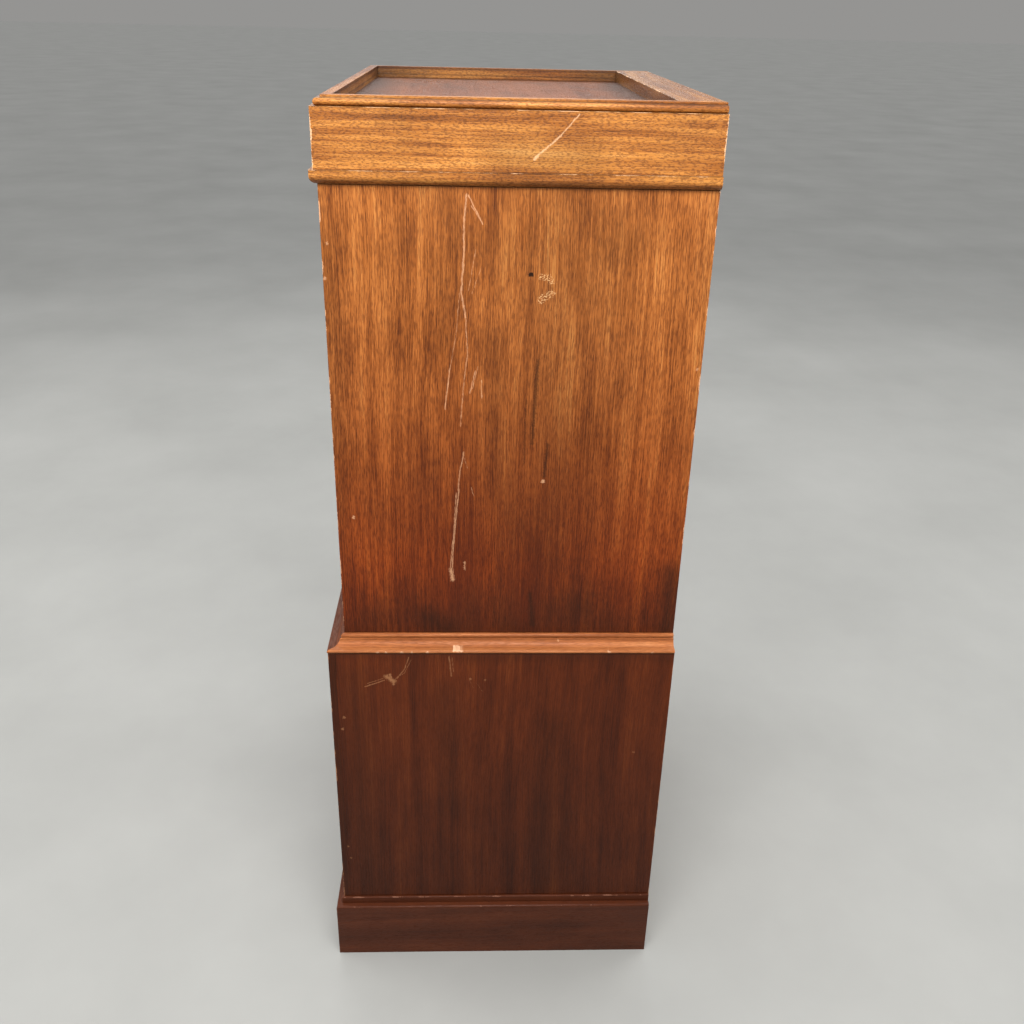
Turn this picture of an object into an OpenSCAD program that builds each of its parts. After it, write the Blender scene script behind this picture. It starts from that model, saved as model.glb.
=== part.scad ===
// Barrister bookcase: a glazed two-tier case with up-and-over doors, on a wider cupboard with a plinth.
// Millimetres, +Z up, front towards -Y, origin on the floor at the middle of the footprint.

/* [Overall] */
// Height to the top of the rim around the tray
total_h = 1200; // [1180:1:1220]
// Width of the glazed case across its two side boards
case_w = 582; // [540:1:640]
// Depth of the glazed case
case_d = 430; // [410:1:460]
// How far the cupboard stands out past the glazed case, in front and at each side
step = 20; // [18:1:22]
// Thickness of the side boards, shelves and carcass boards
board_t = 18; // [16:1:20]
// Thickness of the back panels
back_t = 8; // [6:1:8]

/* [Heights] */
// Top of the plinth boards
plinth_h = 94; // [85:1:100]
// Height of the thin fillet above the plinth boards
fillet_h = 11; // [9:1:12]
// Underside of the waist moulding
waist_z = 532; // [520:1:545]
// Underside of the cornice
cornice_z = 1112.5; // [1105:0.5:1118]

/* [Cornice] */
// Thickness of the cornice boards behind the frieze
cornice_t = 22; // [21:0.5:24]
// How far the frieze stands out past the glazed case
frieze_proud = 3.5; // [2.5:0.5:4]
// Depth of the tray on top, below the rim
tray_depth = 15; // [12:1:18]
// Width of the flat board along the back of the tray
tray_back_w = 50; // [40:1:60]

/* [Plinth] */
// Thickness of the plinth boards
plinth_t = 22; // [21:1:24]
// How far the plinth boards stand out past the cupboard
plinth_proud = 11; // [9:1:12]
// How far the fillet stands out past the cupboard
fillet_proud = 3; // [2:0.5:4]

/* [Glazed doors] */
// Thickness of every door
door_t = 20; // [18:1:22]
// Gap around every door
door_gap = 1.5; // [1.2:0.1:2]
// Width of the glazed doors' stiles
glazed_stile_w = 40; // [34:1:46]
// Height of the glazed doors' top rails
glazed_top_h = 38; // [34:1:44]
// Height of the glazed doors' bottom rails
glazed_bottom_h = 44; // [38:1:50]
// Thickness of the glass
glass_t = 3; // [2:0.5:4]
// How far a glazed door slides back under the board above it, once it is up
door_travel = 185; // [150:1:190]

/* [Cupboard doors] */
// Thickness of the face frame's layer in front of the side boards
face_t = 9; // [8:1:10]
// Width of the face frame's stiles
face_stile_w = 40; // [36:1:44]
// Height of the face frame's top rail
face_top_h = 30; // [26:1:34]
// Top of the face frame's bottom rail
face_bottom_z = 140; // [136:1:144]
// Width of the cupboard doors' stiles
door_stile_w = 46; // [40:1:52]
// Height of the cupboard doors' rails
door_rail_h = 50; // [44:1:56]
// Height of the cupboard shelf's underside
shelf_z = 322; // [300:1:340]

/* [Hardware] */
// Radius of the knobs
knob_r = 10; // [8:0.5:10]
// How far the cupboard knobs stand out
cupboard_knob_l = 24; // [20:1:26]
// How far the glazed doors' knobs stand out
glazed_knob_l = 20; // [16:1:20]
// Radius of the glazed doors' pivot pins
pivot_r = 2.5; // [2:0.1:3]
// Radius of the butt hinges' knuckles
knuckle_r = 3; // [2.8:0.1:3.5]
// Height of a butt hinge
hinge_h = 50; // [40:1:60]

/* [Hidden] */
$fn = 48;

WOOD_TOP = "#b5692c";
WOOD = "#8c4a22";
WOOD_DARK = "#552a1b";
WOOD_INSIDE = "#7a5638";
BRASS = "#b8964a";
STEEL = "#8d8f92";
GLASS = [0.75, 0.85, 0.85, 0.35];

LEFT = -1;
RIGHT = 1;

// Plan sizes; the back is one plane
cupboard_w = case_w + 2 * step;
cupboard_d = case_d + step;
plinth_w = cupboard_w + 2 * plinth_proud;
plinth_d = cupboard_d + plinth_proud;
overall_d = max(plinth_d, cupboard_d + cupboard_knob_l);
back_y = overall_d / 2;
case_y = back_y - case_d;
cupboard_y = back_y - cupboard_d;
plinth_y = back_y - plinth_d;
case_x = case_w / 2;
case_in_x = case_x - board_t;
cupboard_x = cupboard_w / 2;
cupboard_in_x = cupboard_x - board_t;
plinth_x = plinth_w / 2;
eps = 1;                       // how far a cutting shape reaches past what it cuts
mitre_reach = 60;              // more than any moulding stands out from its inner line

// Cornice
cornice_x = case_x + frieze_proud - cornice_t;
cornice_y = case_y - frieze_proud + cornice_t;
frieze_bottom_z = cornice_z + 15;
rim_fillet_h = 2.5;
top_bead_r = 4;
frieze_top_z = total_h - rim_fillet_h - 2 * top_bead_r;
bottom_bead_r = 8;
bottom_bead_z = cornice_z + 0.5 + bottom_bead_r;
bottom_bead_proud = 4;
top_bead_setback = 3.5;
rim_setback = 10.5;
tray_z = total_h - tray_depth;
tray_panel_t = 6;

// Waist moulding, measured from its inner line
waist_h = 19;
waist_inner = 16;              // how far it reaches in under the glazed case
waist_top_z = waist_z + waist_h;
waist_bead_r = 3;
waist_bead_out = 4;
cove_r = 9.5;
cove_out = 15;
nose_r = 2.5;
nose_out = step + 1;

// The glazed tiers
case_floor_z = waist_top_z + board_t;
case_ceiling_z = cornice_z - board_t;
tier_h = (case_ceiling_z - case_floor_z - board_t) / 2;
bottom_tier_z = case_floor_z;
top_tier_z = case_floor_z + tier_h + board_t;
pin_y = case_y + door_t / 2;
pin_drop = door_t / 2 + door_gap;              // pin below the board above it
glazed_x = case_in_x - door_gap;
glazed_open_x = glazed_x - glazed_stile_w;
glazed_low = door_gap;                         // heights above the tier's floor
glazed_high = tier_h - door_gap;
pin_up = tier_h - pin_drop;
glazed_open_low = glazed_low + glazed_bottom_h;
glazed_open_high = glazed_high - glazed_top_h;
rebate_w = 8;
lip_t = 9;                                     // wood in front of the glass
rebate_y = case_y + lip_t;
bead_back = 1;                                 // glazing beads end this far inside the door's back
bead_joint = 0.2;                              // gap between two glazing beads at a corner
pivot_clearance = 0.05;
pivot_in_stile = 22;
groove_depth = 8;
groove_h = 10.6;
shoe_h = 10;
shoe_front = 6;                                // shoe ahead of the pin
shoe_back = 34;                                // shoe behind the pin
shoe_proud = 0.7;
shoe_side_gap = 0.4;
groove_end_gap = 0.5;
bar_y = pin_y + 14;
bar_t = 12;
bar_h = 12;
bar_up = 4;                                    // top of the equaliser bar above the pin
glazed_knob_x = 150;
knob_up = 23;                                  // knob's height above the door's lower edge

// Cupboard
floor_lip = 4;                                 // floor above the bottom rail, which stops the doors
floor_z = face_bottom_z + floor_lip;
face_back_t = 24;
face_top_z = waist_z - face_top_h;
opening_x = cupboard_x - face_stile_w;
door_outer_x = opening_x - door_gap;
door_inner_x = door_gap / 2;
door_low_z = face_bottom_z + door_gap;
door_high_z = face_top_z - door_gap;
door_back_y = cupboard_y + door_t;
panel_tongue = 6;
panel_groove = 7;
panel_plate_t = 6;
panel_field_h = 5;
panel_bevel_w = 24;
panel_plate_y = cupboard_y + 8;
knob_z = 330;
peg_r = 2.5;
peg_hole_l = 9;
peg_out = 10;
peg_rows = [-50, 0, 50];
peg_y = [cupboard_y + 70, back_y - 60];

// Butt hinges on the cupboard doors
hinge_x = opening_x - door_gap / 2;
hinge_y = cupboard_y - knuckle_r - 0.3;
hinge_pin_r = 1.5;
hinge_clearance = 0.05;
leaf_t = 1.5;
leaf_w = 15;
knuckle_gap = 0.3;
knuckle_h = hinge_h / 3;
hinge_z = [door_low_z + 40, door_high_z - 40 - hinge_h];

// Bullet catches over the cupboard doors
catch_x = 40;
catch_y = cupboard_y + door_t / 2;
catch_r = 4;
catch_l = 14;
catch_ball_r = 3;
catch_ball_out = 1.1;

// Glue blocks
block_w = 25;
cornice_block_h = 45;
plinth_block_h = 60;

// ---- helpers ----

// A box between two opposite corners
module block(low, high) {
    translate(low) cube(high - low);
}

// Draws its children for the right side, or their mirror image for the left
module on_side(side) {
    if (side == RIGHT) children();
    else mirror([1, 0, 0]) children();
}

// A profile run along one side and mitred at the front; profile x points outwards from the inner line
module side_run(inner_x, inner_y) {
    intersection() {
        translate([inner_x, back_y, 0]) rotate([90, 0, 0])
            linear_extrude(back_y - inner_y + mitre_reach) children();
        translate([0, 0, -eps]) linear_extrude(total_h + 2 * eps) polygon([
            [inner_x - eps, inner_y + eps],
            [inner_x + mitre_reach, inner_y - mitre_reach],
            [inner_x + mitre_reach, back_y + eps],
            [inner_x - eps, back_y + eps]
        ]);
    }
}

// The same profile run across the front and mitred at both ends
module front_run(inner_x, inner_y) {
    intersection() {
        translate([inner_x + mitre_reach, inner_y, 0]) rotate([90, 0, -90])
            linear_extrude(2 * (inner_x + mitre_reach)) children();
        translate([0, 0, -eps]) linear_extrude(total_h + 2 * eps) polygon([
            [-inner_x + eps, inner_y + eps],
            [inner_x - eps, inner_y + eps],
            [inner_x + mitre_reach, inner_y - mitre_reach],
            [-inner_x - mitre_reach, inner_y - mitre_reach]
        ]);
    }
}

// A turned knob along -Y, with its rose on the plane y = 0
module knob(length) {
    neck_r = 0.42 * knob_r;
    head_l = 0.55 * length;
    rotate([90, 0, 0]) {
        cylinder(h = 2, r = 0.8 * knob_r);
        cylinder(h = length - head_l / 2, r = neck_r);
        intersection() {
            translate([0, 0, length - knob_r]) sphere(r = knob_r);
            translate([0, 0, length - head_l]) cylinder(h = head_l, r = knob_r);
        }
    }
}

// V-joints between the boards of a back panel, on its outer face
module board_joints(half_w, low_z, high_z) {
    pitch = 2 * half_w / 6;
    joint = 2.4;
    for (i = [1 : 5]) {
        translate([-half_w + i * pitch, back_y, low_z - eps]) rotate([0, 0, 45])
            translate([-joint / 2, -joint / 2, 0]) cube([joint, joint, high_z - low_z + 2 * eps]);
    }
}

// ---- cornice ----

// Bottom bead, frieze, top bead and rim; profile x starts at the boards' inner faces
module cornice_profile() {
    bottom_bead_u = cornice_t + bottom_bead_proud - bottom_bead_r;
    top_bead_u = cornice_t - top_bead_setback - top_bead_r;
    translate([0, cornice_z]) square([cornice_t - frieze_proud, bottom_bead_z - cornice_z]);
    translate([0, bottom_bead_z]) square([cornice_t + bottom_bead_proud, frieze_bottom_z - bottom_bead_z]);
    translate([bottom_bead_u, bottom_bead_z]) circle(r = bottom_bead_r);
    translate([0, frieze_bottom_z]) square([cornice_t, frieze_top_z - frieze_bottom_z]);
    translate([0, frieze_top_z]) square([top_bead_u, 2 * top_bead_r]);
    translate([top_bead_u, frieze_top_z + top_bead_r]) circle(r = top_bead_r);
    translate([0, total_h - rim_fillet_h]) square([cornice_t - rim_setback, rim_fillet_h]);
}

module cornice_front() {
    color(WOOD_TOP) front_run(cornice_x, cornice_y) cornice_profile();
}

module cornice_side(side) {
    color(WOOD_TOP) on_side(side) side_run(cornice_x, cornice_y) cornice_profile();
}

module cornice_back_board() {
    color(WOOD_TOP) block(
        [-cornice_x, back_y - tray_back_w, tray_z - tray_panel_t],
        [cornice_x, back_y, total_h]
    );
}

module cornice_rear_rail() {
    color(WOOD_DARK)
        block([-cornice_x, back_y - board_t, cornice_z], [cornice_x, back_y, tray_z - tray_panel_t]);
}

module tray_panel() {
    color(WOOD_DARK) block(
        [-cornice_x, cornice_y, tray_z - tray_panel_t],
        [cornice_x, back_y - tray_back_w, tray_z]
    );
}

// Blocks in the corners behind the cornice boards and behind the plinth boards
module glue_blocks() {
    low_z = tray_z - tray_panel_t - cornice_block_h;
    plinth_in_x = plinth_x - plinth_t;
    color(WOOD_INSIDE) for (side = [LEFT, RIGHT]) on_side(side) {
        block(
            [cornice_x - block_w, cornice_y, low_z],
            [cornice_x, cornice_y + block_w, low_z + cornice_block_h]
        );
        block(
            [cornice_x - block_w, back_y - board_t - block_w, low_z],
            [cornice_x, back_y - board_t, low_z + cornice_block_h]
        );
        block(
            [plinth_in_x - block_w, plinth_y + plinth_t, plinth_h - plinth_block_h],
            [plinth_in_x, plinth_y + plinth_t + block_w, plinth_h]
        );
        block(
            [plinth_in_x - block_w, back_y - plinth_t - block_w, plinth_h - plinth_block_h],
            [plinth_in_x, back_y - plinth_t, plinth_h]
        );
    }
}

// ---- glazed case ----

// The groove that a guide shoe runs in, cut into a side board
module guide_groove(tier_z) {
    pin_z = tier_z + pin_up;
    block(
        [case_in_x - eps, pin_y - shoe_front - groove_end_gap, pin_z - groove_h / 2],
        [case_in_x + groove_depth, pin_y + shoe_back + door_travel + groove_end_gap, pin_z + groove_h / 2]
    );
}

module case_side(side) {
    color(WOOD) on_side(side) difference() {
        block([case_in_x, case_y, waist_top_z], [case_x, back_y, cornice_z]);
        block(
            [case_in_x - eps, back_y - back_t, waist_top_z - eps],
            [case_in_x + back_t, back_y + eps, cornice_z + eps]
        );
        guide_groove(bottom_tier_z);
        guide_groove(top_tier_z);
    }
}

// A board across the glazed case, from its front edge to the back panel
module case_board(low_z) {
    color(WOOD) block([-case_in_x, case_y, low_z], [case_in_x, back_y - back_t, low_z + board_t]);
}

module case_back_panel() {
    half_w = case_in_x + back_t;
    color(WOOD_INSIDE) difference() {
        block([-half_w, back_y - back_t, waist_top_z], [half_w, back_y, cornice_z]);
        board_joints(half_w, waist_top_z, cornice_z);
    }
}

// ---- glazed up-and-over doors, one set for each tier ----

module guide_shoes(tier_z) {
    pin_z = tier_z + pin_up;
    color(STEEL) for (side = [LEFT, RIGHT]) on_side(side) difference() {
        block(
            [case_in_x - shoe_proud, pin_y - shoe_front, pin_z - shoe_h / 2],
            [case_in_x + groove_depth - shoe_side_gap, pin_y + shoe_back, pin_z + shoe_h / 2]
        );
        translate([case_in_x - shoe_proud - eps, pin_y, pin_z]) rotate([0, 90, 0])
            cylinder(h = groove_depth + shoe_proud + 2 * eps, r = pivot_r + pivot_clearance);
    }
}

module equaliser_bar(tier_z) {
    half_w = case_in_x - shoe_proud;
    top_z = tier_z + pin_up + bar_up;
    color(WOOD) block([-half_w, bar_y, top_z - bar_h], [half_w, bar_y + bar_t, top_z]);
}

// The door's round top edge, centred on the pivot
module round_top(low_x, high_x, pin_z) {
    translate([low_x, pin_y, pin_z]) rotate([0, 90, 0]) cylinder(h = high_x - low_x, r = door_t / 2);
}

module glazed_stiles(tier_z) {
    pin_z = tier_z + pin_up;
    color(WOOD) for (side = [LEFT, RIGHT]) on_side(side) difference() {
        union() {
            block([glazed_open_x, case_y, tier_z + glazed_low], [glazed_x, case_y + door_t, pin_z]);
            round_top(glazed_open_x, glazed_x, pin_z);
        }
        block(
            [glazed_open_x - eps, rebate_y, tier_z + glazed_open_low - rebate_w],
            [glazed_open_x + rebate_w, case_y + door_t + eps, tier_z + glazed_open_high + rebate_w]
        );
        translate([glazed_x - pivot_in_stile, pin_y, pin_z]) rotate([0, 90, 0])
            cylinder(h = pivot_in_stile + eps, r = pivot_r);
    }
}

module glazed_top_rail(tier_z) {
    pin_z = tier_z + pin_up;
    low_z = tier_z + glazed_open_high;
    color(WOOD) difference() {
        union() {
            block([-glazed_open_x, case_y, low_z], [glazed_open_x, case_y + door_t, pin_z]);
            round_top(-glazed_open_x, glazed_open_x, pin_z);
        }
        block([-glazed_x, rebate_y, low_z - eps], [glazed_x, case_y + door_t + eps, low_z + rebate_w]);
    }
}

module glazed_bottom_rail(tier_z) {
    high_z = tier_z + glazed_open_low;
    color(WOOD) difference() {
        block([-glazed_open_x, case_y, tier_z + glazed_low], [glazed_open_x, case_y + door_t, high_z]);
        block([-glazed_x, rebate_y, high_z - rebate_w], [glazed_x, case_y + door_t + eps, high_z + eps]);
    }
}

module glass_pane(tier_z) {
    half_w = glazed_open_x + rebate_w;
    color(GLASS) block(
        [-half_w, rebate_y, tier_z + glazed_open_low - rebate_w],
        [half_w, rebate_y + glass_t, tier_z + glazed_open_high + rebate_w]
    );
}

module glazing_beads(tier_z) {
    front_y = rebate_y + glass_t;
    end_y = case_y + door_t - bead_back;
    half_w = glazed_open_x + rebate_w;
    low_z = tier_z + glazed_open_low - rebate_w;
    high_z = tier_z + glazed_open_high + rebate_w;
    color(WOOD) {
        for (side = [LEFT, RIGHT]) on_side(side)
            block([glazed_open_x, front_y, low_z], [half_w, end_y, high_z]);
        for (z = [low_z, high_z - rebate_w])
            block(
                [-glazed_open_x + bead_joint, front_y, z],
                [glazed_open_x - bead_joint, end_y, z + rebate_w]
            );
    }
}

module glazed_knobs(tier_z) {
    color(BRASS) for (side = [LEFT, RIGHT])
        translate([side * glazed_knob_x, case_y, tier_z + glazed_low + knob_up]) knob(glazed_knob_l);
}

// Pins fixed in the stiles, turning in the guide shoes
module pivot_pins(tier_z) {
    end_x = case_in_x + groove_depth - shoe_side_gap - eps;
    start_x = glazed_x - pivot_in_stile;
    color(STEEL) for (side = [LEFT, RIGHT]) on_side(side)
        translate([start_x, pin_y, tier_z + pin_up]) rotate([0, 90, 0])
            cylinder(h = end_x - start_x, r = pivot_r);
}

// ---- waist ----

// Bead, cove and nose from top to bottom; profile x starts under the glazed case
module waist_profile() {
    translate([0, waist_z]) square([waist_inner, waist_h]);
    translate([waist_inner, 0]) {
        translate([0, waist_top_z - 2 * waist_bead_r])
            square([waist_bead_out - waist_bead_r, 2 * waist_bead_r]);
        translate([waist_bead_out - waist_bead_r, waist_top_z - waist_bead_r]) circle(r = waist_bead_r);
        difference() {
            translate([0, waist_z]) square([cove_out, waist_h - 2 * waist_bead_r + 0.5]);
            translate([cove_out, waist_z + 2 * nose_r - 0.5 + cove_r]) circle(r = cove_r);
        }
        translate([0, waist_z]) square([nose_out - nose_r, 2 * nose_r]);
        translate([nose_out - nose_r, waist_z + nose_r]) circle(r = nose_r);
    }
}

module waist_moulding_front() {
    color(WOOD_TOP) front_run(case_x - waist_inner, case_y + waist_inner) waist_profile();
}

module waist_moulding_side(side) {
    color(WOOD_TOP) on_side(side) side_run(case_x - waist_inner, case_y + waist_inner) waist_profile();
}

module waist_board() {
    color(WOOD_DARK) block(
        [-case_x + waist_inner, case_y + waist_inner, waist_z],
        [case_x - waist_inner, back_y, waist_top_z]
    );
}

// ---- cupboard ----

module cupboard_side(side) {
    color(WOOD_DARK) on_side(side) difference() {
        block([cupboard_in_x, cupboard_y + face_t, plinth_h], [cupboard_x, back_y, waist_z]);
        block(
            [cupboard_in_x - eps, back_y - back_t, plinth_h - eps],
            [cupboard_in_x + back_t, back_y + eps, waist_z + eps]
        );
        for (y = peg_y, row = peg_rows)
            translate([cupboard_in_x - eps, y, shelf_z - peg_r + row]) rotate([0, 90, 0])
                cylinder(h = peg_hole_l + eps, r = peg_r);
    }
}

module cupboard_bottom_board() {
    color(WOOD_INSIDE) block(
        [-cupboard_in_x, cupboard_y + face_back_t, floor_z - board_t],
        [cupboard_in_x, back_y - back_t, floor_z]
    );
}

module cupboard_back_panel() {
    half_w = cupboard_in_x + back_t;
    color(WOOD_INSIDE) difference() {
        block([-half_w, back_y - back_t, plinth_h], [half_w, back_y, waist_z]);
        board_joints(half_w, plinth_h, waist_z);
    }
}

module cupboard_shelf() {
    front_y = door_back_y + 20;
    end_gap = 1;
    color(WOOD_INSIDE) block(
        [-cupboard_in_x + end_gap, front_y, shelf_z],
        [cupboard_in_x - end_gap, back_y - back_t - end_gap, shelf_z + board_t]
    );
}

module shelf_pegs() {
    color(BRASS) for (side = [LEFT, RIGHT], y = peg_y) on_side(side)
        translate([cupboard_in_x - peg_out, y, shelf_z - peg_r]) rotate([0, 90, 0])
            cylinder(h = peg_out + peg_hole_l, r = peg_r);
}

// Room for one leaf of every hinge, let into the edge of a stile
module leaf_recesses(low_x, high_x) {
    for (z = hinge_z) block([low_x, cupboard_y - eps, z], [high_x, cupboard_y + leaf_w, z + hinge_h]);
}

// Rebated posts: the front layer covers the side boards' edges
module face_stiles() {
    color(WOOD_DARK) for (side = [LEFT, RIGHT]) on_side(side) difference() {
        union() {
            block([opening_x, cupboard_y, plinth_h], [cupboard_x, cupboard_y + face_t, waist_z]);
            block([opening_x, cupboard_y, plinth_h], [cupboard_in_x, cupboard_y + face_back_t, waist_z]);
        }
        leaf_recesses(opening_x - eps, opening_x + leaf_t);
    }
}

module face_rails() {
    color(WOOD_DARK) {
        block([-opening_x, cupboard_y, plinth_h], [opening_x, cupboard_y + face_back_t, face_bottom_z]);
        difference() {
            block([-opening_x, cupboard_y, face_top_z], [opening_x, cupboard_y + face_back_t, waist_z]);
            for (side = [LEFT, RIGHT])
                translate([side * catch_x, catch_y, face_top_z - eps])
                    cylinder(h = catch_l + eps, r = catch_r);
        }
    }
}

module door_catches() {
    color(BRASS) for (side = [LEFT, RIGHT]) translate([side * catch_x, catch_y, face_top_z]) {
        cylinder(h = catch_l, r = catch_r);
        translate([0, 0, catch_ball_r - catch_ball_out]) sphere(r = catch_ball_r);
    }
}

// ---- cupboard doors ----

module door_stiles(side) {
    color(WOOD_DARK) on_side(side) difference() {
        union() {
            block(
                [door_inner_x, cupboard_y, door_low_z],
                [door_inner_x + door_stile_w, door_back_y, door_high_z]
            );
            block(
                [door_outer_x - door_stile_w, cupboard_y, door_low_z],
                [door_outer_x, door_back_y, door_high_z]
            );
        }
        block(
            [
                door_inner_x + door_stile_w - panel_groove, panel_plate_y,
                door_low_z + door_rail_h - panel_groove
            ],
            [
                door_outer_x - door_stile_w + panel_groove, panel_plate_y + panel_plate_t,
                door_high_z - door_rail_h + panel_groove
            ]
        );
        leaf_recesses(door_outer_x - leaf_t, door_outer_x + eps);
    }
}

module door_rails(side) {
    low_x = door_inner_x + door_stile_w;
    high_x = door_outer_x - door_stile_w;
    color(WOOD_DARK) on_side(side) difference() {
        union() {
            block([low_x, cupboard_y, door_low_z], [high_x, door_back_y, door_low_z + door_rail_h]);
            block([low_x, cupboard_y, door_high_z - door_rail_h], [high_x, door_back_y, door_high_z]);
        }
        block(
            [low_x - eps, panel_plate_y, door_low_z + door_rail_h - panel_groove],
            [high_x + eps, panel_plate_y + panel_plate_t, door_high_z - door_rail_h + panel_groove]
        );
    }
}

// A plate held in the frame's groove, with a raised field that slopes down to it
module door_panel(side) {
    low = [door_inner_x + door_stile_w, door_low_z + door_rail_h];
    high = [door_outer_x - door_stile_w, door_high_z - door_rail_h];
    size = high - low;
    middle = (low + high) / 2;
    foot = size - [4, 4];
    field = size - 2 * [panel_bevel_w, panel_bevel_w];
    tongue = [panel_tongue, panel_tongue];
    color(WOOD_DARK) on_side(side) {
        block(
            [low[0] - tongue[0], panel_plate_y, low[1] - tongue[1]],
            [high[0] + tongue[0], panel_plate_y + panel_plate_t, high[1] + tongue[1]]
        );
        translate([middle[0], panel_plate_y, middle[1]]) rotate([90, 0, 0])
            linear_extrude(panel_field_h, scale = [field[0] / foot[0], field[1] / foot[1]], slices = 1)
                square(foot, center = true);
    }
}

module door_knob(side) {
    color(BRASS) on_side(side)
        translate([door_inner_x + door_stile_w / 2, cupboard_y, knob_z]) knob(cupboard_knob_l);
}

// One hinge's leaf, with the knuckles that are its own; out is the side of the hinge line that it lies on
module hinge_leaf(out, knuckles) {
    near = door_gap / 2;
    low_x = out > 0 ? near : -near - leaf_t;
    face_y = cupboard_y - hinge_y;
    block([low_x, face_y, 0], [low_x + leaf_t, face_y + leaf_w, hinge_h]);
    for (k = knuckles) {
        low_z = k * knuckle_h + (k == 0 ? 0 : knuckle_gap / 2);
        high_z = (k + 1) * knuckle_h - (k == 2 ? 0 : knuckle_gap / 2);
        translate([0, 0, low_z]) cylinder(h = high_z - low_z, r = knuckle_r);
        block([low_x, 0, low_z], [low_x + leaf_t, face_y + eps, high_z]);
    }
}

// The leaves on a door, bored for the pins
module door_hinge_leaves(side) {
    color(BRASS) on_side(side) for (z = hinge_z) translate([hinge_x, hinge_y, z]) difference() {
        hinge_leaf(LEFT, [1]);
        translate([0, 0, -eps]) cylinder(h = hinge_h + 2 * eps, r = hinge_pin_r + hinge_clearance);
    }
}

// The leaves on the face frame, with their pins
module fixed_hinge_leaves() {
    color(BRASS) for (side = [LEFT, RIGHT], z = hinge_z) on_side(side) translate([hinge_x, hinge_y, z]) {
        hinge_leaf(RIGHT, [0, 2]);
        cylinder(h = hinge_h, r = hinge_pin_r);
    }
}

// ---- plinth ----

module plinth_profile() {
    edge_r = 3;
    square([plinth_t, plinth_h - edge_r]);
    square([plinth_t - edge_r, plinth_h]);
    translate([plinth_t - edge_r, plinth_h - edge_r]) circle(r = edge_r);
}

module plinth_front() {
    color(WOOD_DARK) front_run(plinth_x - plinth_t, plinth_y + plinth_t) plinth_profile();
}

module plinth_side(side) {
    color(WOOD_DARK) on_side(side) side_run(plinth_x - plinth_t, plinth_y + plinth_t) plinth_profile();
}

module plinth_rear() {
    inner_x = plinth_x - plinth_t;
    color(WOOD_DARK) block([-inner_x, back_y - plinth_t, 0], [inner_x, back_y, plinth_h]);
}

// Thin strips planted on the cupboard's foot, with a rounded top edge
module fillet_profile() {
    edge_r = fillet_proud / 2;
    translate([0, plinth_h]) {
        square([fillet_proud, fillet_h - edge_r]);
        square([fillet_proud - edge_r, fillet_h]);
        translate([fillet_proud - edge_r, fillet_h - edge_r]) circle(r = edge_r);
    }
}

module plinth_fillets() {
    color(WOOD_DARK) {
        front_run(cupboard_x, cupboard_y) fillet_profile();
        for (side = [LEFT, RIGHT]) on_side(side) side_run(cupboard_x, cupboard_y) fillet_profile();
    }
}

// ---- every part by name ----

cornice_front();
cornice_side(LEFT);  // cornice_side_left
cornice_side(RIGHT);  // cornice_side_right
cornice_back_board();
cornice_rear_rail();
tray_panel();
glue_blocks();
case_side(LEFT);  // case_side_left
case_side(RIGHT);  // case_side_right
case_board(case_ceiling_z);  // case_top_board
case_board(top_tier_z - board_t);  // case_middle_board
case_board(waist_top_z);  // case_bottom_board
case_back_panel();
guide_shoes(top_tier_z);  // top_tier_guide_shoes
equaliser_bar(top_tier_z);  // top_tier_equaliser_bar
glazed_stiles(top_tier_z);  // top_tier_door_stiles
glazed_top_rail(top_tier_z);  // top_tier_door_top_rail
glazed_bottom_rail(top_tier_z);  // top_tier_door_bottom_rail
glass_pane(top_tier_z);  // top_tier_glass
glazing_beads(top_tier_z);  // top_tier_glazing_beads
glazed_knobs(top_tier_z);  // top_tier_knobs
pivot_pins(top_tier_z);  // top_tier_pivot_pins
guide_shoes(bottom_tier_z);  // bottom_tier_guide_shoes
equaliser_bar(bottom_tier_z);  // bottom_tier_equaliser_bar
glazed_stiles(bottom_tier_z);  // bottom_tier_door_stiles
glazed_top_rail(bottom_tier_z);  // bottom_tier_door_top_rail
glazed_bottom_rail(bottom_tier_z);  // bottom_tier_door_bottom_rail
glass_pane(bottom_tier_z);  // bottom_tier_glass
glazing_beads(bottom_tier_z);  // bottom_tier_glazing_beads
glazed_knobs(bottom_tier_z);  // bottom_tier_knobs
pivot_pins(bottom_tier_z);  // bottom_tier_pivot_pins
waist_moulding_front();
waist_moulding_side(LEFT);  // waist_moulding_left
waist_moulding_side(RIGHT);  // waist_moulding_right
waist_board();
cupboard_side(LEFT);  // cupboard_side_left
cupboard_side(RIGHT);  // cupboard_side_right
cupboard_bottom_board();
cupboard_back_panel();
cupboard_shelf();
shelf_pegs();
face_stiles();
face_rails();
door_stiles(LEFT);  // left_door_stiles
door_rails(LEFT);  // left_door_rails
door_panel(LEFT);  // left_door_panel
door_knob(LEFT);  // left_door_knob
door_hinge_leaves(LEFT);  // left_door_hinge_leaves
door_stiles(RIGHT);  // right_door_stiles
door_rails(RIGHT);  // right_door_rails
door_panel(RIGHT);  // right_door_panel
door_knob(RIGHT);  // right_door_knob
door_hinge_leaves(RIGHT);  // right_door_hinge_leaves
fixed_hinge_leaves();
door_catches();
plinth_front();
plinth_side(LEFT);  // plinth_left
plinth_side(RIGHT);  // plinth_right
plinth_rear();
plinth_fillets();
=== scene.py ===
import math

import bmesh
import bpy
from mathutils import Matrix, Vector


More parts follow.
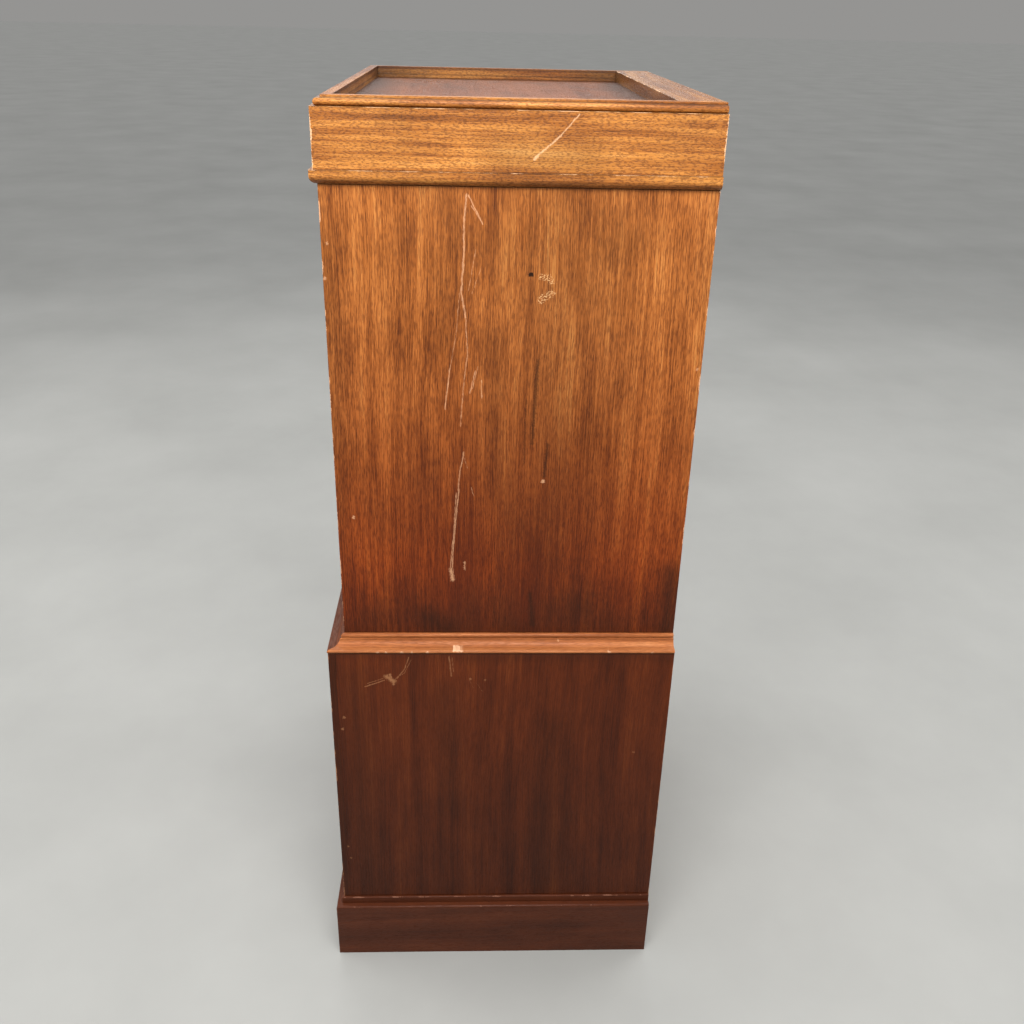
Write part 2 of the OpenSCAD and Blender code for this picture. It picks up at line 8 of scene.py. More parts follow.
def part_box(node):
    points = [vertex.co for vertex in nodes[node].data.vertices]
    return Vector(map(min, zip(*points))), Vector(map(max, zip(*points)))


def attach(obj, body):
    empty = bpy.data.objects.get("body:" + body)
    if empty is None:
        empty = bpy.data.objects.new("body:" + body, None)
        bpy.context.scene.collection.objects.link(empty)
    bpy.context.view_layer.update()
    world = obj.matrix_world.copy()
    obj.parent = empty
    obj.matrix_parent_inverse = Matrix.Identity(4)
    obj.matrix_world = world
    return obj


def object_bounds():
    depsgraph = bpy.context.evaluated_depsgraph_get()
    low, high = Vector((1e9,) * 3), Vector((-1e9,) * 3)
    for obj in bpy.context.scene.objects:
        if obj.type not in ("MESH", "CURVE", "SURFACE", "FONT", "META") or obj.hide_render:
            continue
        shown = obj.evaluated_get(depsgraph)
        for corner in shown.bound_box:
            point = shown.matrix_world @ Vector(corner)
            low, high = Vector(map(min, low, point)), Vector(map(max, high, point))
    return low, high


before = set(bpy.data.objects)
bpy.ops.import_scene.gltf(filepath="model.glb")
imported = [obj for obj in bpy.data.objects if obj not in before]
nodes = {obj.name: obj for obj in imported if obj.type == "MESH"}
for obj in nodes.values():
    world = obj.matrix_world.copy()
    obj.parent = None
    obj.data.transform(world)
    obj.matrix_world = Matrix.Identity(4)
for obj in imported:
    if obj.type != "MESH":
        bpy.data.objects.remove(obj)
cad_low, cad_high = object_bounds()

MM = 0.001
HEIGHT = cad_high.z

# Planes of the CAD model that the camera, the lights, the looks and the marks are placed from
case_low, case_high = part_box("case_side_right")
cupboard_low, cupboard_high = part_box("cupboard_side_right")
cornice_low, cornice_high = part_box("cornice_side_right")
tray_low, tray_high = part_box("tray_panel")
plinth_low, plinth_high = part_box("plinth_right")
waist_low, waist_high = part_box("waist_moulding_right")
BACK_Y = case_high.y
CASE_FRONT_Y = case_low.y
CUPBOARD_FRONT_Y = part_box("face_rails")[0].y
FRIEZE_PROUD = 3.5 * MM
FRIEZE_LOW_Z = cornice_low.z + 15 * MM
FRIEZE_HIGH_Z = cornice_high.z - 10.5 * MM


# ---- camera, light and floor ----

def make_camera():
    """Stands to the right of the bookcase, a little above its top, and looks down at its side."""
    pitch = math.radians(26.24)
    yaw = math.radians(2.38)
    roll = math.radians(1.35)
    ahead = Vector((
        -math.cos(yaw) * math.cos(pitch),
        math.sin(yaw) * math.cos(pitch),
        -math.sin(pitch),
    ))
    level = ahead.cross(Vector((0, 0, 1))).normalized()
    upright = level.cross(ahead)
    right = level * math.cos(roll) + upright * math.sin(roll)
    up = upright * math.cos(roll) - level * math.sin(roll)
    data = bpy.data.cameras.new("camera")
    data.sensor_width = 36
    data.lens = 36.07
    data.clip_end = 60
    camera = bpy.data.objects.new("camera", data)
    turn = Matrix((right, up, -ahead)).transposed().to_4x4()
    frieze_x = case_high.x + FRIEZE_PROUD
    place = Vector((frieze_x + 0.940 * HEIGHT, BACK_Y - 0.219 * HEIGHT, 1.071 * HEIGHT))
    camera.matrix_world = Matrix.Translation(place) @ turn
    bpy.context.scene.collection.objects.link(camera)
    bpy.context.scene.camera = camera


def make_area_light(name, place, target, width, depth, watts, tint):
    data = bpy.data.lights.new(name, "AREA")
    data.shape = "RECTANGLE"
    data.size = width
    data.size_y = depth
    data.energy = watts
    data.color = tint
    light = bpy.data.objects.new(name, data)
    light.visible_camera = False
    light.location = place
    light.rotation_mode = "QUATERNION"
    light.rotation_quaternion = (Vector(target) - Vector(place)).to_track_quat("-Z", "Y")
    bpy.context.scene.collection.objects.link(light)


def make_ceiling_light(strength):
    """Lights the whole floor evenly from straight above."""
    data = bpy.data.lights.new("ceiling_light", "SUN")
    data.energy = strength
    data.angle = math.radians(80)
    bpy.context.scene.collection.objects.link(bpy.data.objects.new("ceiling_light", data))


def make_world(strength):
    world = bpy.data.worlds.new("studio")
    world.use_nodes = True
    background = world.node_tree.nodes["Background"]
    background.inputs["Color"].default_value = (1.0, 0.985, 0.96, 1)
    background.inputs["Strength"].default_value = strength
    bpy.context.scene.world = world


def light_the_studio():
    side_x = case_high.x
    make_area_light(
        "key_light", (side_x + 1.0, -0.04, HEIGHT + 0.85), (side_x - 0.15, 0, 0.75 * HEIGHT),
        1.6, 0.9, 50, (1.0, 0.975, 0.94),
    )
    make_area_light(
        "front_light", (-0.6, -3.0, HEIGHT + 1.0), (0, 0, 0.5 * HEIGHT), 2.2, 1.6, 42, (1.0, 0.98, 0.95),
    )
    make_area_light(
        "back_light", (-1.6, 2.6, HEIGHT + 1.3), (0, 0, 0.5 * HEIGHT), 2.2, 1.6, 34, (1.0, 0.98, 0.95),
    )
    make_area_light(
        "left_light", (-2.6, -0.4, HEIGHT + 1.5), (0, 0, 0.6 * HEIGHT), 2.4, 1.4, 30, (1.0, 0.98, 0.95),
    )
    make_ceiling_light(1.6)
    make_world(0.30)


# ---- short calls for building materials ----

def tone(red, green, blue):
    """A colour from 0 to 255 sRGB numbers, as linear light."""
    def linear(value):
        share = value / 255
        return share / 12.92 if share <= 0.04045 else ((share + 0.055) / 1.055) ** 2.4
    return (linear(red), linear(green), linear(blue), 1.0)


class Graph:
    """Builds one node tree with short calls that return output sockets."""

    def __init__(self, tree):
        self.tree = tree

    def add(self, kind, **settings):
        node = self.tree.nodes.new(kind)
        for name, value in settings.items():
            setattr(node, name, value)
        return node

    def feed(self, socket, value):
        if isinstance(value, bpy.types.NodeSocket):
            self.tree.links.new(value, socket)
        else:
            socket.default_value = value

    def math(self, operation, first, second=0.0, third=0.0, clamp=False):
        node = self.add("ShaderNodeMath", operation=operation, use_clamp=clamp)
        for socket, value in zip(node.inputs, (first, second, third)):
            self.feed(socket, value)
        return node.outputs[0]

    def vector(self, operation, first, second=(0, 0, 0)):
        node = self.add("ShaderNodeVectorMath", operation=operation)
        self.feed(node.inputs[0], first)
        if operation == "SCALE":
            self.feed(node.inputs["Scale"], second)
        else:
            self.feed(node.inputs[1], second)
        return node.outputs["Value" if operation in ("DOT_PRODUCT", "DISTANCE", "LENGTH") else "Vector"]

    def mix(self, factor, first, second, blend="MIX"):
        node = self.add("ShaderNodeMix", data_type="RGBA", blend_type=blend)
        self.feed(node.inputs["Factor"], factor)
        self.feed(node.inputs[6], first)
        self.feed(node.inputs[7], second)
        return node.outputs[2]

    def fade(self, value, low, high, start=0.0, end=1.0):
        """start below low and end above high, with a smooth step between; low may be above high."""
        node = self.add("ShaderNodeMapRange", interpolation_type="SMOOTHSTEP")
        if low > high:
            low, high, start, end = high, low, end, start
        for name, number in (("From Min", low), ("From Max", high), ("To Min", start), ("To Max", end)):
            node.inputs[name].default_value = number
        self.feed(node.inputs["Value"], value)
        return node.outputs["Result"]

    def noise(self, point, detail=2.0, roughness=0.5, scale=1.0):
        node = self.add("ShaderNodeTexNoise")
        self.feed(node.inputs["Vector"], point)
        node.inputs["Scale"].default_value = scale
        node.inputs["Detail"].default_value = detail
        node.inputs["Roughness"].default_value = roughness
        return node.outputs["Fac"]

    def ramp(self, factor, stops):
        node = self.add("ShaderNodeValToRGB")
        elements = node.color_ramp.elements
        while len(elements) < len(stops):
            elements.new(0.5)
        for element, (place, colour) in zip(elements, stops):
            element.position = place
            element.color = colour
        self.feed(node.inputs["Fac"], factor)
        return node.outputs["Color"]

    def split(self, vector, axes="XYZ"):
        node = self.add("ShaderNodeSeparateXYZ")
        self.feed(node.inputs[0], vector)
        return [node.outputs[axis] for axis in axes]

    def join(self, x, y, z):
        node = self.add("ShaderNodeCombineXYZ")
        for socket, value in zip(node.inputs, (x, y, z)):
            self.feed(socket, value)
        return node.outputs[0]


def new_material(name):
    material = bpy.data.materials.new(name)
    material.use_nodes = True
    return material, Graph(material.node_tree), material.node_tree.nodes["Principled BSDF"]


# ---- marks on the right-hand side ----
# Places are in millimetres forward of the back plane, and in millimetres below the top of the board, or of
# the frieze.

# Scratches as (width, strength, points)
CASE_SCRATCHES = [
    (4.0, 0.75, [(272, 8), (275, 36), (275, 72), (278, 114), (273, 142)]),
    (3.2, 0.55, [(273, 142), (271, 186), (275, 218), (277, 246), (279, 273)]),
    (3.0, 0.75, [(270, 9), (255, 39)]),
    (2.6, 0.60, [(267, 20), (256, 37)]),
    (2.0, 0.50, [(262, 66), (270, 112)]),
    (1.8, 0.45, [(256, 86), (266, 115)]),
    (2.2, 0.50, [(280, 115), (284, 164), (291, 202)]),
    (3.2, 0.70, [(291, 202), (297, 252)]),
    (3.2, 0.65, [(262, 205), (268, 232)]),
    (2.4, 0.55, [(259, 200), (265, 226)]),
    (2.8, 0.60, [(255, 216), (254, 238)]),
    (3.4, 0.65, [(275, 306), (280, 333), (282, 357)]),
    (2.0, 0.50, [(274, 314), (271, 327)]),
    (2.2, 0.50, [(266, 353), (263, 364)]),
    (3.0, 0.75, [(281, 355), (287, 420), (290, 470)]),
    (2.4, 0.70, [(284, 360), (288, 420), (292, 464)]),
]
# Rubs at the ends of scratches
CASE_CHIPS = [
    (8.5, 0.90, [(291, 466), (289, 482)]),
    (4.5, 0.70, [(274, 456), (274, 466)]),
]
# The bruise beside the nail hole, where only flecks of bare wood show
CASE_BRUISE = [
    (9.0, 1.0, [(189, 95), (181, 96), (178, 101)]),
    (11.0, 1.0, [(177, 114), (183, 116), (189, 121)]),
]
# Bare spots as (radius, strength, place)
CASE_SPOTS = [
    (2.8, 0.75, (179, 344)),
    (2.2, 0.70, (410, 394)),
    (2.0, 0.50, (423, 62)),
    (2.4, 0.60, (428, 100)),
    (2.0, 0.50, (5, 200)),
]
# Dark streaks and stains as (width, strength, points)
CASE_STAINS = [
    (26.0, 0.40, [(186, 96), (178, 108), (184, 120)]),
    (10.0, 0.74, [(190, 191), (192, 240), (194, 294)]),
    (5.0, 0.50, [(202, 240), (203, 322)]),
    (9.0, 0.74, [(175, 295), (178, 337)]),
    (10.0, 0.55, [(236, 507), (236, 553)]),
    (12.0, 0.70, [(190, 502), (186, 548)]),
    (22.0, 0.30, [(203, 40), (202, 90)]),
    (70.0, 0.26, [(238, 170), (236, 330), (225, 556)]),
    (190.0, 0.28, [(168, 0), (160, 460)]),
    (60.0, 0.25, [(130, 240), (120, 420)]),
    (50.0, 0.50, [(318, 540), (300, 556)]),
    (46.0, 0.60, [(12, 470), (8, 556)]),
    (60.0, 0.22, [(300, 14), (270, 60)]),
]
NAIL_HOLE = (3.4, 1.0, (201, 93))
CUPBOARD_SCRATCHES = [
    (3.0, 0.75, [(404, 52), (379, 42)]),
    (2.2, 0.65, [(401, 47), (380, 39)]),
    (2.8, 0.65, [(346, 6), (352, 24), (362, 39)]),
    (2.0, 0.55, [(343, 10), (352, 30), (364, 39)]),
    (4.4, 0.60, [(294, 5), (291, 35)]),
    (2.4, 0.50, [(290, 6), (288, 28)]),
    (1.5, 0.40, [(268, 40), (262, 54)]),
    (1.4, 0.35, [(258, 46), (250, 60)]),
]
CUPBOARD_CHIPS = [
    (11.0, 0.95, [(376, 36), (366, 44)]),
    (7.0, 0.80, [(371, 33), (367, 48)]),
]
CUPBOARD_SPOTS = [
    (2.4, 0.60, (434, 102)),
    (2.4, 0.70, (437, 121)),
    (1.8, 0.60, (266, 40)),
    (1.8, 0.50, (247, 42)),
    (2.0, 0.40, (42, 162)),
    (1.8, 0.50, (440, 330)),
    (2.0, 0.40, (437, 352)),
]
CUPBOARD_STAINS = [
    (60.0, 0.25, [(300, 60), (290, 260)]),
    (90.0, 0.22, [(150, 120), (150, 400)]),
    (70.0, 0.25, [(420, 40), (410, 430)]),
]
FRIEZE_SCRATCHES = [
    (3.0, 0.75, [(156, 3), (174, 24)]),
    (3.8, 0.80, [(174, 24), (200, 46)]),
    (5.4, 0.85, [(198, 45), (201, 48)]),
]
# A broad painted shade across the middle of the frieze.
FRIEZE_PAINTED_SHADE = [(70.0, 0.30, [(235, 46), (145, 46)])]
WAIST_CHIP = [(4.4, 0.95, [(277, 15), (288, 14)])]
WAIST_SPOTS = [
    (2.2, 0.80, (386, 17)),
    (2.2, 0.80, (375, 17)),
    (2.6, 0.85, (355, 17)),
    (2.0, 0.80, (342, 17)),
    (2.4, 0.85, (322, 17)),
    (1.8, 0.60, (152, 8)),
    (2.4, 0.70, (86, 16)),
    (2.0, 0.60, (30, 17)),
]


def stroke_group():
    """A node group: 1 on a straight stroke, falling to 0 at its width."""
    tree = bpy.data.node_groups.new("stroke", "ShaderNodeTree")
    for name, kind in (("Point", "NodeSocketVector"), ("Start", "NodeSocketVector"),
                       ("Run", "NodeSocketVector"), ("Share", "NodeSocketVector"),
                       ("Width", "NodeSocketFloat")):
        tree.interface.new_socket(name, in_out="INPUT", socket_type=kind)
    tree.interface.new_socket("Mask", in_out="OUTPUT", socket_type="NodeSocketFloat")
    g = Graph(tree)
    inside = g.add("NodeGroupInput").outputs
    from_start = g.vector("SUBTRACT", inside["Point"], inside["Start"])
    along = g.vector("DOT_PRODUCT", from_start, inside["Share"])
    along = g.math("MULTIPLY", along, 1.0, clamp=True)
    nearest = g.vector("SCALE", inside["Run"], along)
    away = g.vector("DISTANCE", from_start, nearest)
    half = g.math("MULTIPLY", inside["Width"], 0.5)
    mask = g.math("SUBTRACT", 1.0, g.math("DIVIDE", away, half), clamp=True)
    tree.links.new(mask, g.add("NodeGroupOutput").inputs["Mask"])
    return tree


STROKE = stroke_group()


class Marks:
    """Draws marks in one side's plane; point holds millimetres forward of the back, and below the top."""

    def __init__(self, g, place, top_z):
        self.g = g
        y, z = g.split(place, "YZ")
        forward = g.math("MULTIPLY_ADD", y, -1 / MM, BACK_Y / MM)
        down = g.math("MULTIPLY_ADD", z, -1 / MM, top_z / MM)
        self.flat = g.join(forward, down, 0.0)
        self.smooth_point = self.shaken(0.12, 1.6, 1)
        self.ragged_point = self.shaken(0.45, 5.5, 3)
        self.grit = g.noise(g.vector("MULTIPLY", self.flat, (0.9, 0.16, 1)), detail=3, roughness=0.7)

    def shaken(self, scale, reach, detail):
        """The place moved about by up to half of reach, which makes drawn shapes ragged."""
        noise = self.g.add("ShaderNodeTexNoise")
        self.g.feed(noise.inputs["Vector"], self.flat)
        noise.inputs["Scale"].default_value = scale
        noise.inputs["Detail"].default_value = detail
        centred = self.g.vector("SUBTRACT", noise.outputs["Color"], (0.5, 0.5, 0.5))
        return self.g.vector("ADD", self.flat, self.g.vector("MULTIPLY", centred, (reach, reach, 0)))

    def strongest(self, masks):
        """Joins each mask as soon as it is made, which keeps the shader small enough to compile."""
        total = 0.0
        for mask in masks:
            total = self.g.math("MAXIMUM", total, mask)
        return total

    def stroke(self, point, width, strength, start, end):
        node = self.g.add("ShaderNodeGroup", node_tree=STROKE)
        run = Vector((end[0] - start[0], end[1] - start[1], 0))
        self.g.feed(node.inputs["Point"], point)
        node.inputs["Start"].default_value = (start[0], start[1], 0)
        node.inputs["Run"].default_value = run
        node.inputs["Share"].default_value = run / run.length_squared
        node.inputs["Width"].default_value = width
        return self.g.math("MULTIPLY", node.outputs["Mask"], strength)

    def strokes(self, lines, point=None):
        """Lines as (width, strength, points); drawn on the smoothly shaken place unless another is given."""
        return self.strongest(
            self.stroke(point or self.smooth_point, width, strength, start, end)
            for width, strength, points in lines
            for start, end in zip(points, points[1:])
        )

    def spot(self, radius, strength, centre):
        away = self.g.vector("DISTANCE", self.ragged_point, (centre[0], centre[1], 0))
        return self.g.fade(away, radius, 0.6 * radius, 0.0, strength)

    def spots(self, spots):
        return self.strongest(self.spot(*spot) for spot in spots)

    def flecked(self, mask):
        """Keeps only small flecks of a mark."""
        fleck = self.g.noise(self.g.vector("MULTIPLY", self.flat, (0.55, 0.55, 1)), detail=2)
        return self.g.math("MULTIPLY", self.g.fade(fleck, 0.51, 0.57), self.g.fade(mask, 0.05, 0.35))

    def worn(self, mask):
        """Breaks a scratch up with grit, so that it skips along the grain."""
        threshold = self.g.math("MULTIPLY_ADD", self.grit, -1.4, 0.92)
        rough = self.g.math("SUBTRACT", mask, threshold)
        return self.g.math("MULTIPLY", rough, 1.8, clamp=True)


# ---- wood ----

def figure_stops(darkest, dark, light, lightest):
    """A ramp's stops from the four colours of a wood's figure."""
    colours = (tone(*numbers) for numbers in (darkest, dark, light, lightest))
    return list(zip((0.0, 0.35, 0.65, 1.0), colours))


# stops: the figure's colours; low: what the colour is multiplied by at the foot of a side, partly the wood's
# deeper tone and partly painted shade; bare: rubbed wood
# bands: broad stripes across the grain, per metre; band_share, streaks, lines, mottle: each one's share
# pore: how fine the pores are, across and along the grain; pores: how dark they are
# gloss: the polish's roughness; shine: its reflection
GOLDEN = {
    "stops": figure_stops((88, 47, 18), (150, 90, 38), (188, 124, 58), (214, 154, 84)),
    "low": tone(255, 255, 255), "bare": tone(228, 184, 142),
    "bands": 80, "band_share": 0.46, "streaks": 0.16, "lines": 0.22, "mottle": 0.16,
    "pore": (780, 270), "pores": 0.66, "gloss": 0.38, "shine": 0.27,
}
RIM = dict(GOLDEN, gloss=0.22, shine=0.6)
# Its low deepens the case's sides towards their foot: partly the wood's tone, partly painted shade.
CASE_RED = {
    "stops": figure_stops((80, 38, 18), (142, 80, 34), (178, 108, 52), (208, 146, 80)),
    "low": tone(214, 154, 102), "bare": tone(216, 164, 124),
    "bands": 46, "band_share": 0.25, "streaks": 0.15, "lines": 0.38, "mottle": 0.16,
    "pore": (980, 105), "pores": 0.58, "gloss": 0.38, "shine": 0.20,
}
# Its low takes the cupboard's sides darker and cooler towards the floor: painted shade and a painted
# reflection of the floor.
DARK = {
    "stops": figure_stops((54, 20, 6), (78, 32, 10), (92, 39, 13), (112, 54, 20)),
    "low": tone(215, 220, 225), "bare": tone(160, 110, 74),
    "bands": 36, "band_share": 0.34, "streaks": 0.20, "lines": 0.28, "mottle": 0.18,
    "pore": (900, 90), "pores": 0.22, "gloss": 0.34, "shine": 0.16,
}
PLINTH = {
    "stops": figure_stops((54, 24, 11), (71, 33, 16), (80, 38, 19), (94, 47, 25)),
    "low": tone(255, 255, 255), "bare": tone(126, 86, 68),
    "bands": 30, "band_share": 0.40, "streaks": 0.2, "lines": 0.16, "mottle": 0.24,
    "pore": (900, 120), "pores": 0.18, "gloss": 0.40, "shine": 0.18,
}
WAIST = {
    "stops": figure_stops((104, 54, 26), (150, 86, 46), (174, 106, 60), (196, 130, 82)),
    "low": tone(255, 255, 255), "bare": tone(222, 178, 142),
    "bands": 90, "band_share": 0.40, "streaks": 0.2, "lines": 0.22, "mottle": 0.18,
    "pore": (880, 110), "pores": 0.32, "gloss": 0.42, "shine": 0.24,
}
# The front run in painted shade: a darker copy of the waist moulding's look.
WAIST_FRONT_IN_SHADE = dict(WAIST, stops=figure_stops((58, 28, 14), (84, 42, 22), (100, 52, 28), (122, 68, 40)))
TRAY = {
    "stops": figure_stops((72, 34, 14), (106, 56, 26), (124, 68, 33), (142, 82, 42)),
    "low": tone(255, 255, 255), "bare": tone(176, 130, 96),
    "bands": 30, "band_share": 0.36, "streaks": 0.2, "lines": 0.2, "mottle": 0.24,
    "pore": (880, 110), "pores": 0.40, "gloss": 0.30, "shine": 0.08,
}
INSIDE = {
    "stops": figure_stops((84, 56, 36), (122, 86, 56), (144, 104, 70), (168, 126, 88)),
    "low": tone(235, 225, 220), "bare": tone(186, 150, 112),
    "bands": 30, "band_share": 0.36, "streaks": 0.2, "lines": 0.22, "mottle": 0.22,
    "pore": (880, 110), "pores": 0.40, "gloss": 0.65, "shine": 0.2,
}
# Dark brown for dirt, stains and nail heads, and also for painted shade.
DIRT_AND_SHADE = tone(36, 18, 7)
BROWN = tone(72, 26, 8)
CREAMY = tone(214, 168, 118)


def grain_point(g, place, grain, seed):
    """Turns a place so that z runs along the grain, and moves it to its own part of the noise."""
    x, y, z = g.split(place)
    turned = {"X": (y, z, x), "Y": (x, z, y), "Z": (x, y, z)}[grain]
    point = g.join(*turned)
    return g.vector("ADD", point, (0.37 * seed, 0.61 * seed, 0.83 * seed))


def layer(g, point, across, along, detail=2.0):
    """Noise stretched along the grain, spread to run from 0 to 1."""
    noise = g.noise(g.vector("MULTIPLY", point, (across, across, along)), detail=detail, roughness=0.6)
    return g.fade(noise, 0.30, 0.70)


def wood_figure(g, point, look):
    """Broad bands, streaks, fine lines, mottle and pores. Returns the colour, the pores and the lines."""
    wander = g.noise(g.vector("MULTIPLY", point, (2.5, 2.5, 1.6)), detail=1)
    side_step = g.math("MULTIPLY_ADD", wander, 0.030, -0.015)
    bent = g.vector("ADD", point, g.join(side_step, side_step, 0.0))
    lines = layer(g, bent, 860, 9)
    share = g.math("MULTIPLY", lines, look["lines"])
    bands = layer(g, bent, look["bands"], 0.04 * look["bands"])
    share = g.math("MULTIPLY_ADD", bands, look["band_share"], share)
    share = g.math("MULTIPLY_ADD", layer(g, bent, 110, 3.2, 3), look["streaks"], share)
    share = g.math("MULTIPLY_ADD", layer(g, bent, 38, 15, 3), look["mottle"], share)
    colour = g.ramp(share, look["stops"])
    across, along = look["pore"]
    dashes = g.noise(g.vector("MULTIPLY", bent, (across, across, along)), detail=1, roughness=0.5)
    pores = g.fade(dashes, 0.46, 0.62)
    dark = g.mix(1.0, colour, (0.34, 0.27, 0.22, 1), "MULTIPLY")
    colour = g.mix(g.math("MULTIPLY", pores, look["pores"]), colour, dark)
    return colour, pores, lines


def finish_wood(g, shader, colour, pores, lines, place, look, bare):
    """Polish over the figure: gloss that varies, and a slight relief from the pores."""
    cloud = g.noise(g.vector("MULTIPLY", place, (9, 9, 9)), detail=3, roughness=0.6)
    roughness = g.math("MULTIPLY_ADD", cloud, 0.22, look["gloss"] - 0.11)
    roughness = g.math("MULTIPLY_ADD", pores, 0.16, roughness)
    roughness = g.math("MULTIPLY_ADD", bare, 0.25, roughness)
    height = g.math("MULTIPLY_ADD", pores, -0.7, g.math("MULTIPLY", lines, 0.35))
    bump = g.add("ShaderNodeBump")
    bump.inputs["Distance"].default_value = 0.00025
    bump.inputs["Strength"].default_value = 0.55
    g.feed(bump.inputs["Height"], height)
    g.feed(shader.inputs["Base Color"], colour)
    g.feed(shader.inputs["Roughness"], roughness)
    g.feed(shader.inputs["Normal"], bump.outputs["Normal"])
    shader.inputs["Specular IOR Level"].default_value = look["shine"]


def broken_stretches(g, place, near, reach, seed):
    """1 where near, a distance from an edge, is inside a width that comes and goes along the edge."""
    moved = g.vector("ADD", g.vector("MULTIPLY", place, (46, 46, 46)), (seed, seed, seed))
    patchy = g.noise(moved, detail=4, roughness=0.7)
    width = g.fade(patchy, 0.44, 0.70, 0.0, reach)
    return g.math("GREATER_THAN", width, near)


def near_box_edge(g, place, box):
    """Distance from a box's nearest edge, for a place on its surface: the middle one of three gaps."""
    low, high = box
    gaps = [
        g.math("MINIMUM", g.math("SUBTRACT", value, low[axis]), g.math("SUBTRACT", high[axis], value))
        for axis, value in enumerate(g.split(place))
    ]
    nearer = g.math("MINIMUM", gaps[0], gaps[1])
    further = g.math("MAXIMUM", gaps[0], gaps[1])
    return g.math("MAXIMUM", nearer, g.math("MINIMUM", further, gaps[2]))


def near_lines(g, place, lines):
    """Distance from the nearest of some lines, each the axis that it runs along, a point on it and its wear.
    Left and right are folded together, so one line stands for both sides."""
    x, y, z = g.split(place)
    folded = g.join(g.math("ABSOLUTE", x), y, z)
    near = 1.0
    for axis, point, wear in lines:
        flat = Vector((axis != "X", axis != "Y", axis != "Z"))
        away = g.vector("DISTANCE", g.vector("MULTIPLY", folded, flat), Vector(point) * flat)
        near = g.math("MINIMUM", near, g.math("DIVIDE", away, wear))
    return near


def darken_for_dirt_and_shade(g, colour, distance, reach, strength):
    """Darker where distance is small: old polish and dirt on some edges, painted shade under overhangs, along
    beads and in the tray on others.
    """
    amount = g.fade(distance, reach, 0.0, 0.0, strength)
    return g.mix(amount, colour, DIRT_AND_SHADE)


def patina(g, place, colour, strength):
    """Smoky patches in old polish."""
    cloud = g.noise(g.vector("MULTIPLY", place, (13, 13, 7)), detail=5, roughness=0.62)
    return g.mix(g.fade(cloud, 0.48, 0.74, 0.0, strength), colour, DIRT_AND_SHADE)


def wood_material(name, look, grain, seed, worn=None, extra=None):
    """One board's material. worn is what its edges are rubbed along: a box, or a list of lines."""
    material, g, shader = new_material(name)
    place = g.add("ShaderNodeTexCoord").outputs["Object"]
    colour, pores, lines = wood_figure(g, grain_point(g, place, grain, seed), look)
    bare = 0.0
    if extra is not None:
        colour, bare = extra(g, place, colour, look)
    if worn is not None:
        near = near_lines(g, place, worn) if isinstance(worn, list) else near_box_edge(g, place, worn)
        rubbed = broken_stretches(g, place, near, 1.5 * MM, seed)
        colour = g.mix(g.math("MULTIPLY", rubbed, 0.75), colour, look["bare"])
        bare = g.math("MAXIMUM", bare, rubbed)
    finish_wood(g, shader, colour, pores, lines, place, look, bare)
    return material


def deepen_and_shade(g, colour, value, high, low, look):
    """Takes the look's colour to its deeper tone between two heights: partly the wood's own tone, partly
    painted shade towards the foot.
    """
    deep = g.mix(1.0, colour, look["low"], "MULTIPLY")
    return g.mix(g.fade(value, high, low), colour, deep)


def old_polish(g, place, colour):
    """Brown streaks that gather towards the foot of the case's side, and towards its middle."""
    y, z = g.split(place, "YZ")
    streak = layer(g, g.vector("ADD", place, (3.1, 1.7, 0.4)), 52, 2.4, 3)
    amount = g.math("MULTIPLY_ADD", streak, 0.50, 0.20)
    deep = g.fade(z, case_high.z - 60 * MM, case_low.z)
    off_middle = g.math("ABSOLUTE", g.math("SUBTRACT", y, 0.5 * (case_low.y + case_high.y)))
    deep = g.math("MULTIPLY", deep, g.fade(off_middle, 200 * MM, 60 * MM, 0.35, 1.0))
    return g.mix(g.math("MULTIPLY", amount, deep), colour, BROWN)


def case_side_extra(marked):
    """The glazed case's side: deeper towards the floor, partly the wood's tone and partly painted shade, dirt
    along its edges, painted shade just under the cornice and, on the right, its marks.
    """
    def extra(g, place, colour, look):
        y, z = g.split(place, "YZ")
        # Towards the foot: partly the wood's deeper tone, partly painted shade.
        colour = deepen_and_shade(g, colour, z, case_high.z - 60 * MM, case_low.z, look)
        colour = old_polish(g, place, colour)
        colour = patina(g, place, colour, 0.26)
        cloud = g.noise(g.vector("MULTIPLY", place, (14, 14, 5)), detail=4, roughness=0.65)
        uneven = g.math("MULTIPLY_ADD", cloud, 0.18, -0.09)
        above = g.math("ADD", g.math("SUBTRACT", z, case_low.z), uneven)
        colour = darken_for_dirt_and_shade(g, colour, above, 105 * MM, 0.58)
        to_front = g.math("ADD", g.math("SUBTRACT", y, case_low.y), g.math("MULTIPLY", uneven, 0.3))
        colour = darken_for_dirt_and_shade(g, colour, to_front, 24 * MM, 0.22)
        to_back = g.math("ADD", g.math("SUBTRACT", case_high.y, y), g.math("MULTIPLY", uneven, 0.3))
        colour = darken_for_dirt_and_shade(g, colour, to_back, 20 * MM, 0.12)
        # Painted shade just under the cornice's overhang.
        below = g.math("SUBTRACT", case_high.z, z)
        colour = darken_for_dirt_and_shade(g, colour, below, 4 * MM, 0.35)
        if not marked:
            return colour, 0.0
        marks = Marks(g, place, case_high.z)
        colour = g.mix(marks.strokes(CASE_STAINS, marks.ragged_point), colour, DIRT_AND_SHADE)
        scratches = marks.worn(marks.strokes(CASE_SCRATCHES))
        chips = marks.worn(marks.strokes(CASE_CHIPS, marks.ragged_point))
        bare = g.math("MULTIPLY", g.math("MAXIMUM", scratches, chips), 0.62)
        bare = g.math("MAXIMUM", bare, g.math("MULTIPLY", marks.spots(CASE_SPOTS), 0.8))
        colour = g.mix(bare, colour, look["bare"])
        flecks = marks.flecked(marks.strokes(CASE_BRUISE, marks.ragged_point))
        colour = g.mix(g.math("MULTIPLY", flecks, 0.65), colour, CREAMY)
        colour = g.mix(marks.spots([NAIL_HOLE]), colour, DIRT_AND_SHADE)
        return colour, bare
    return extra


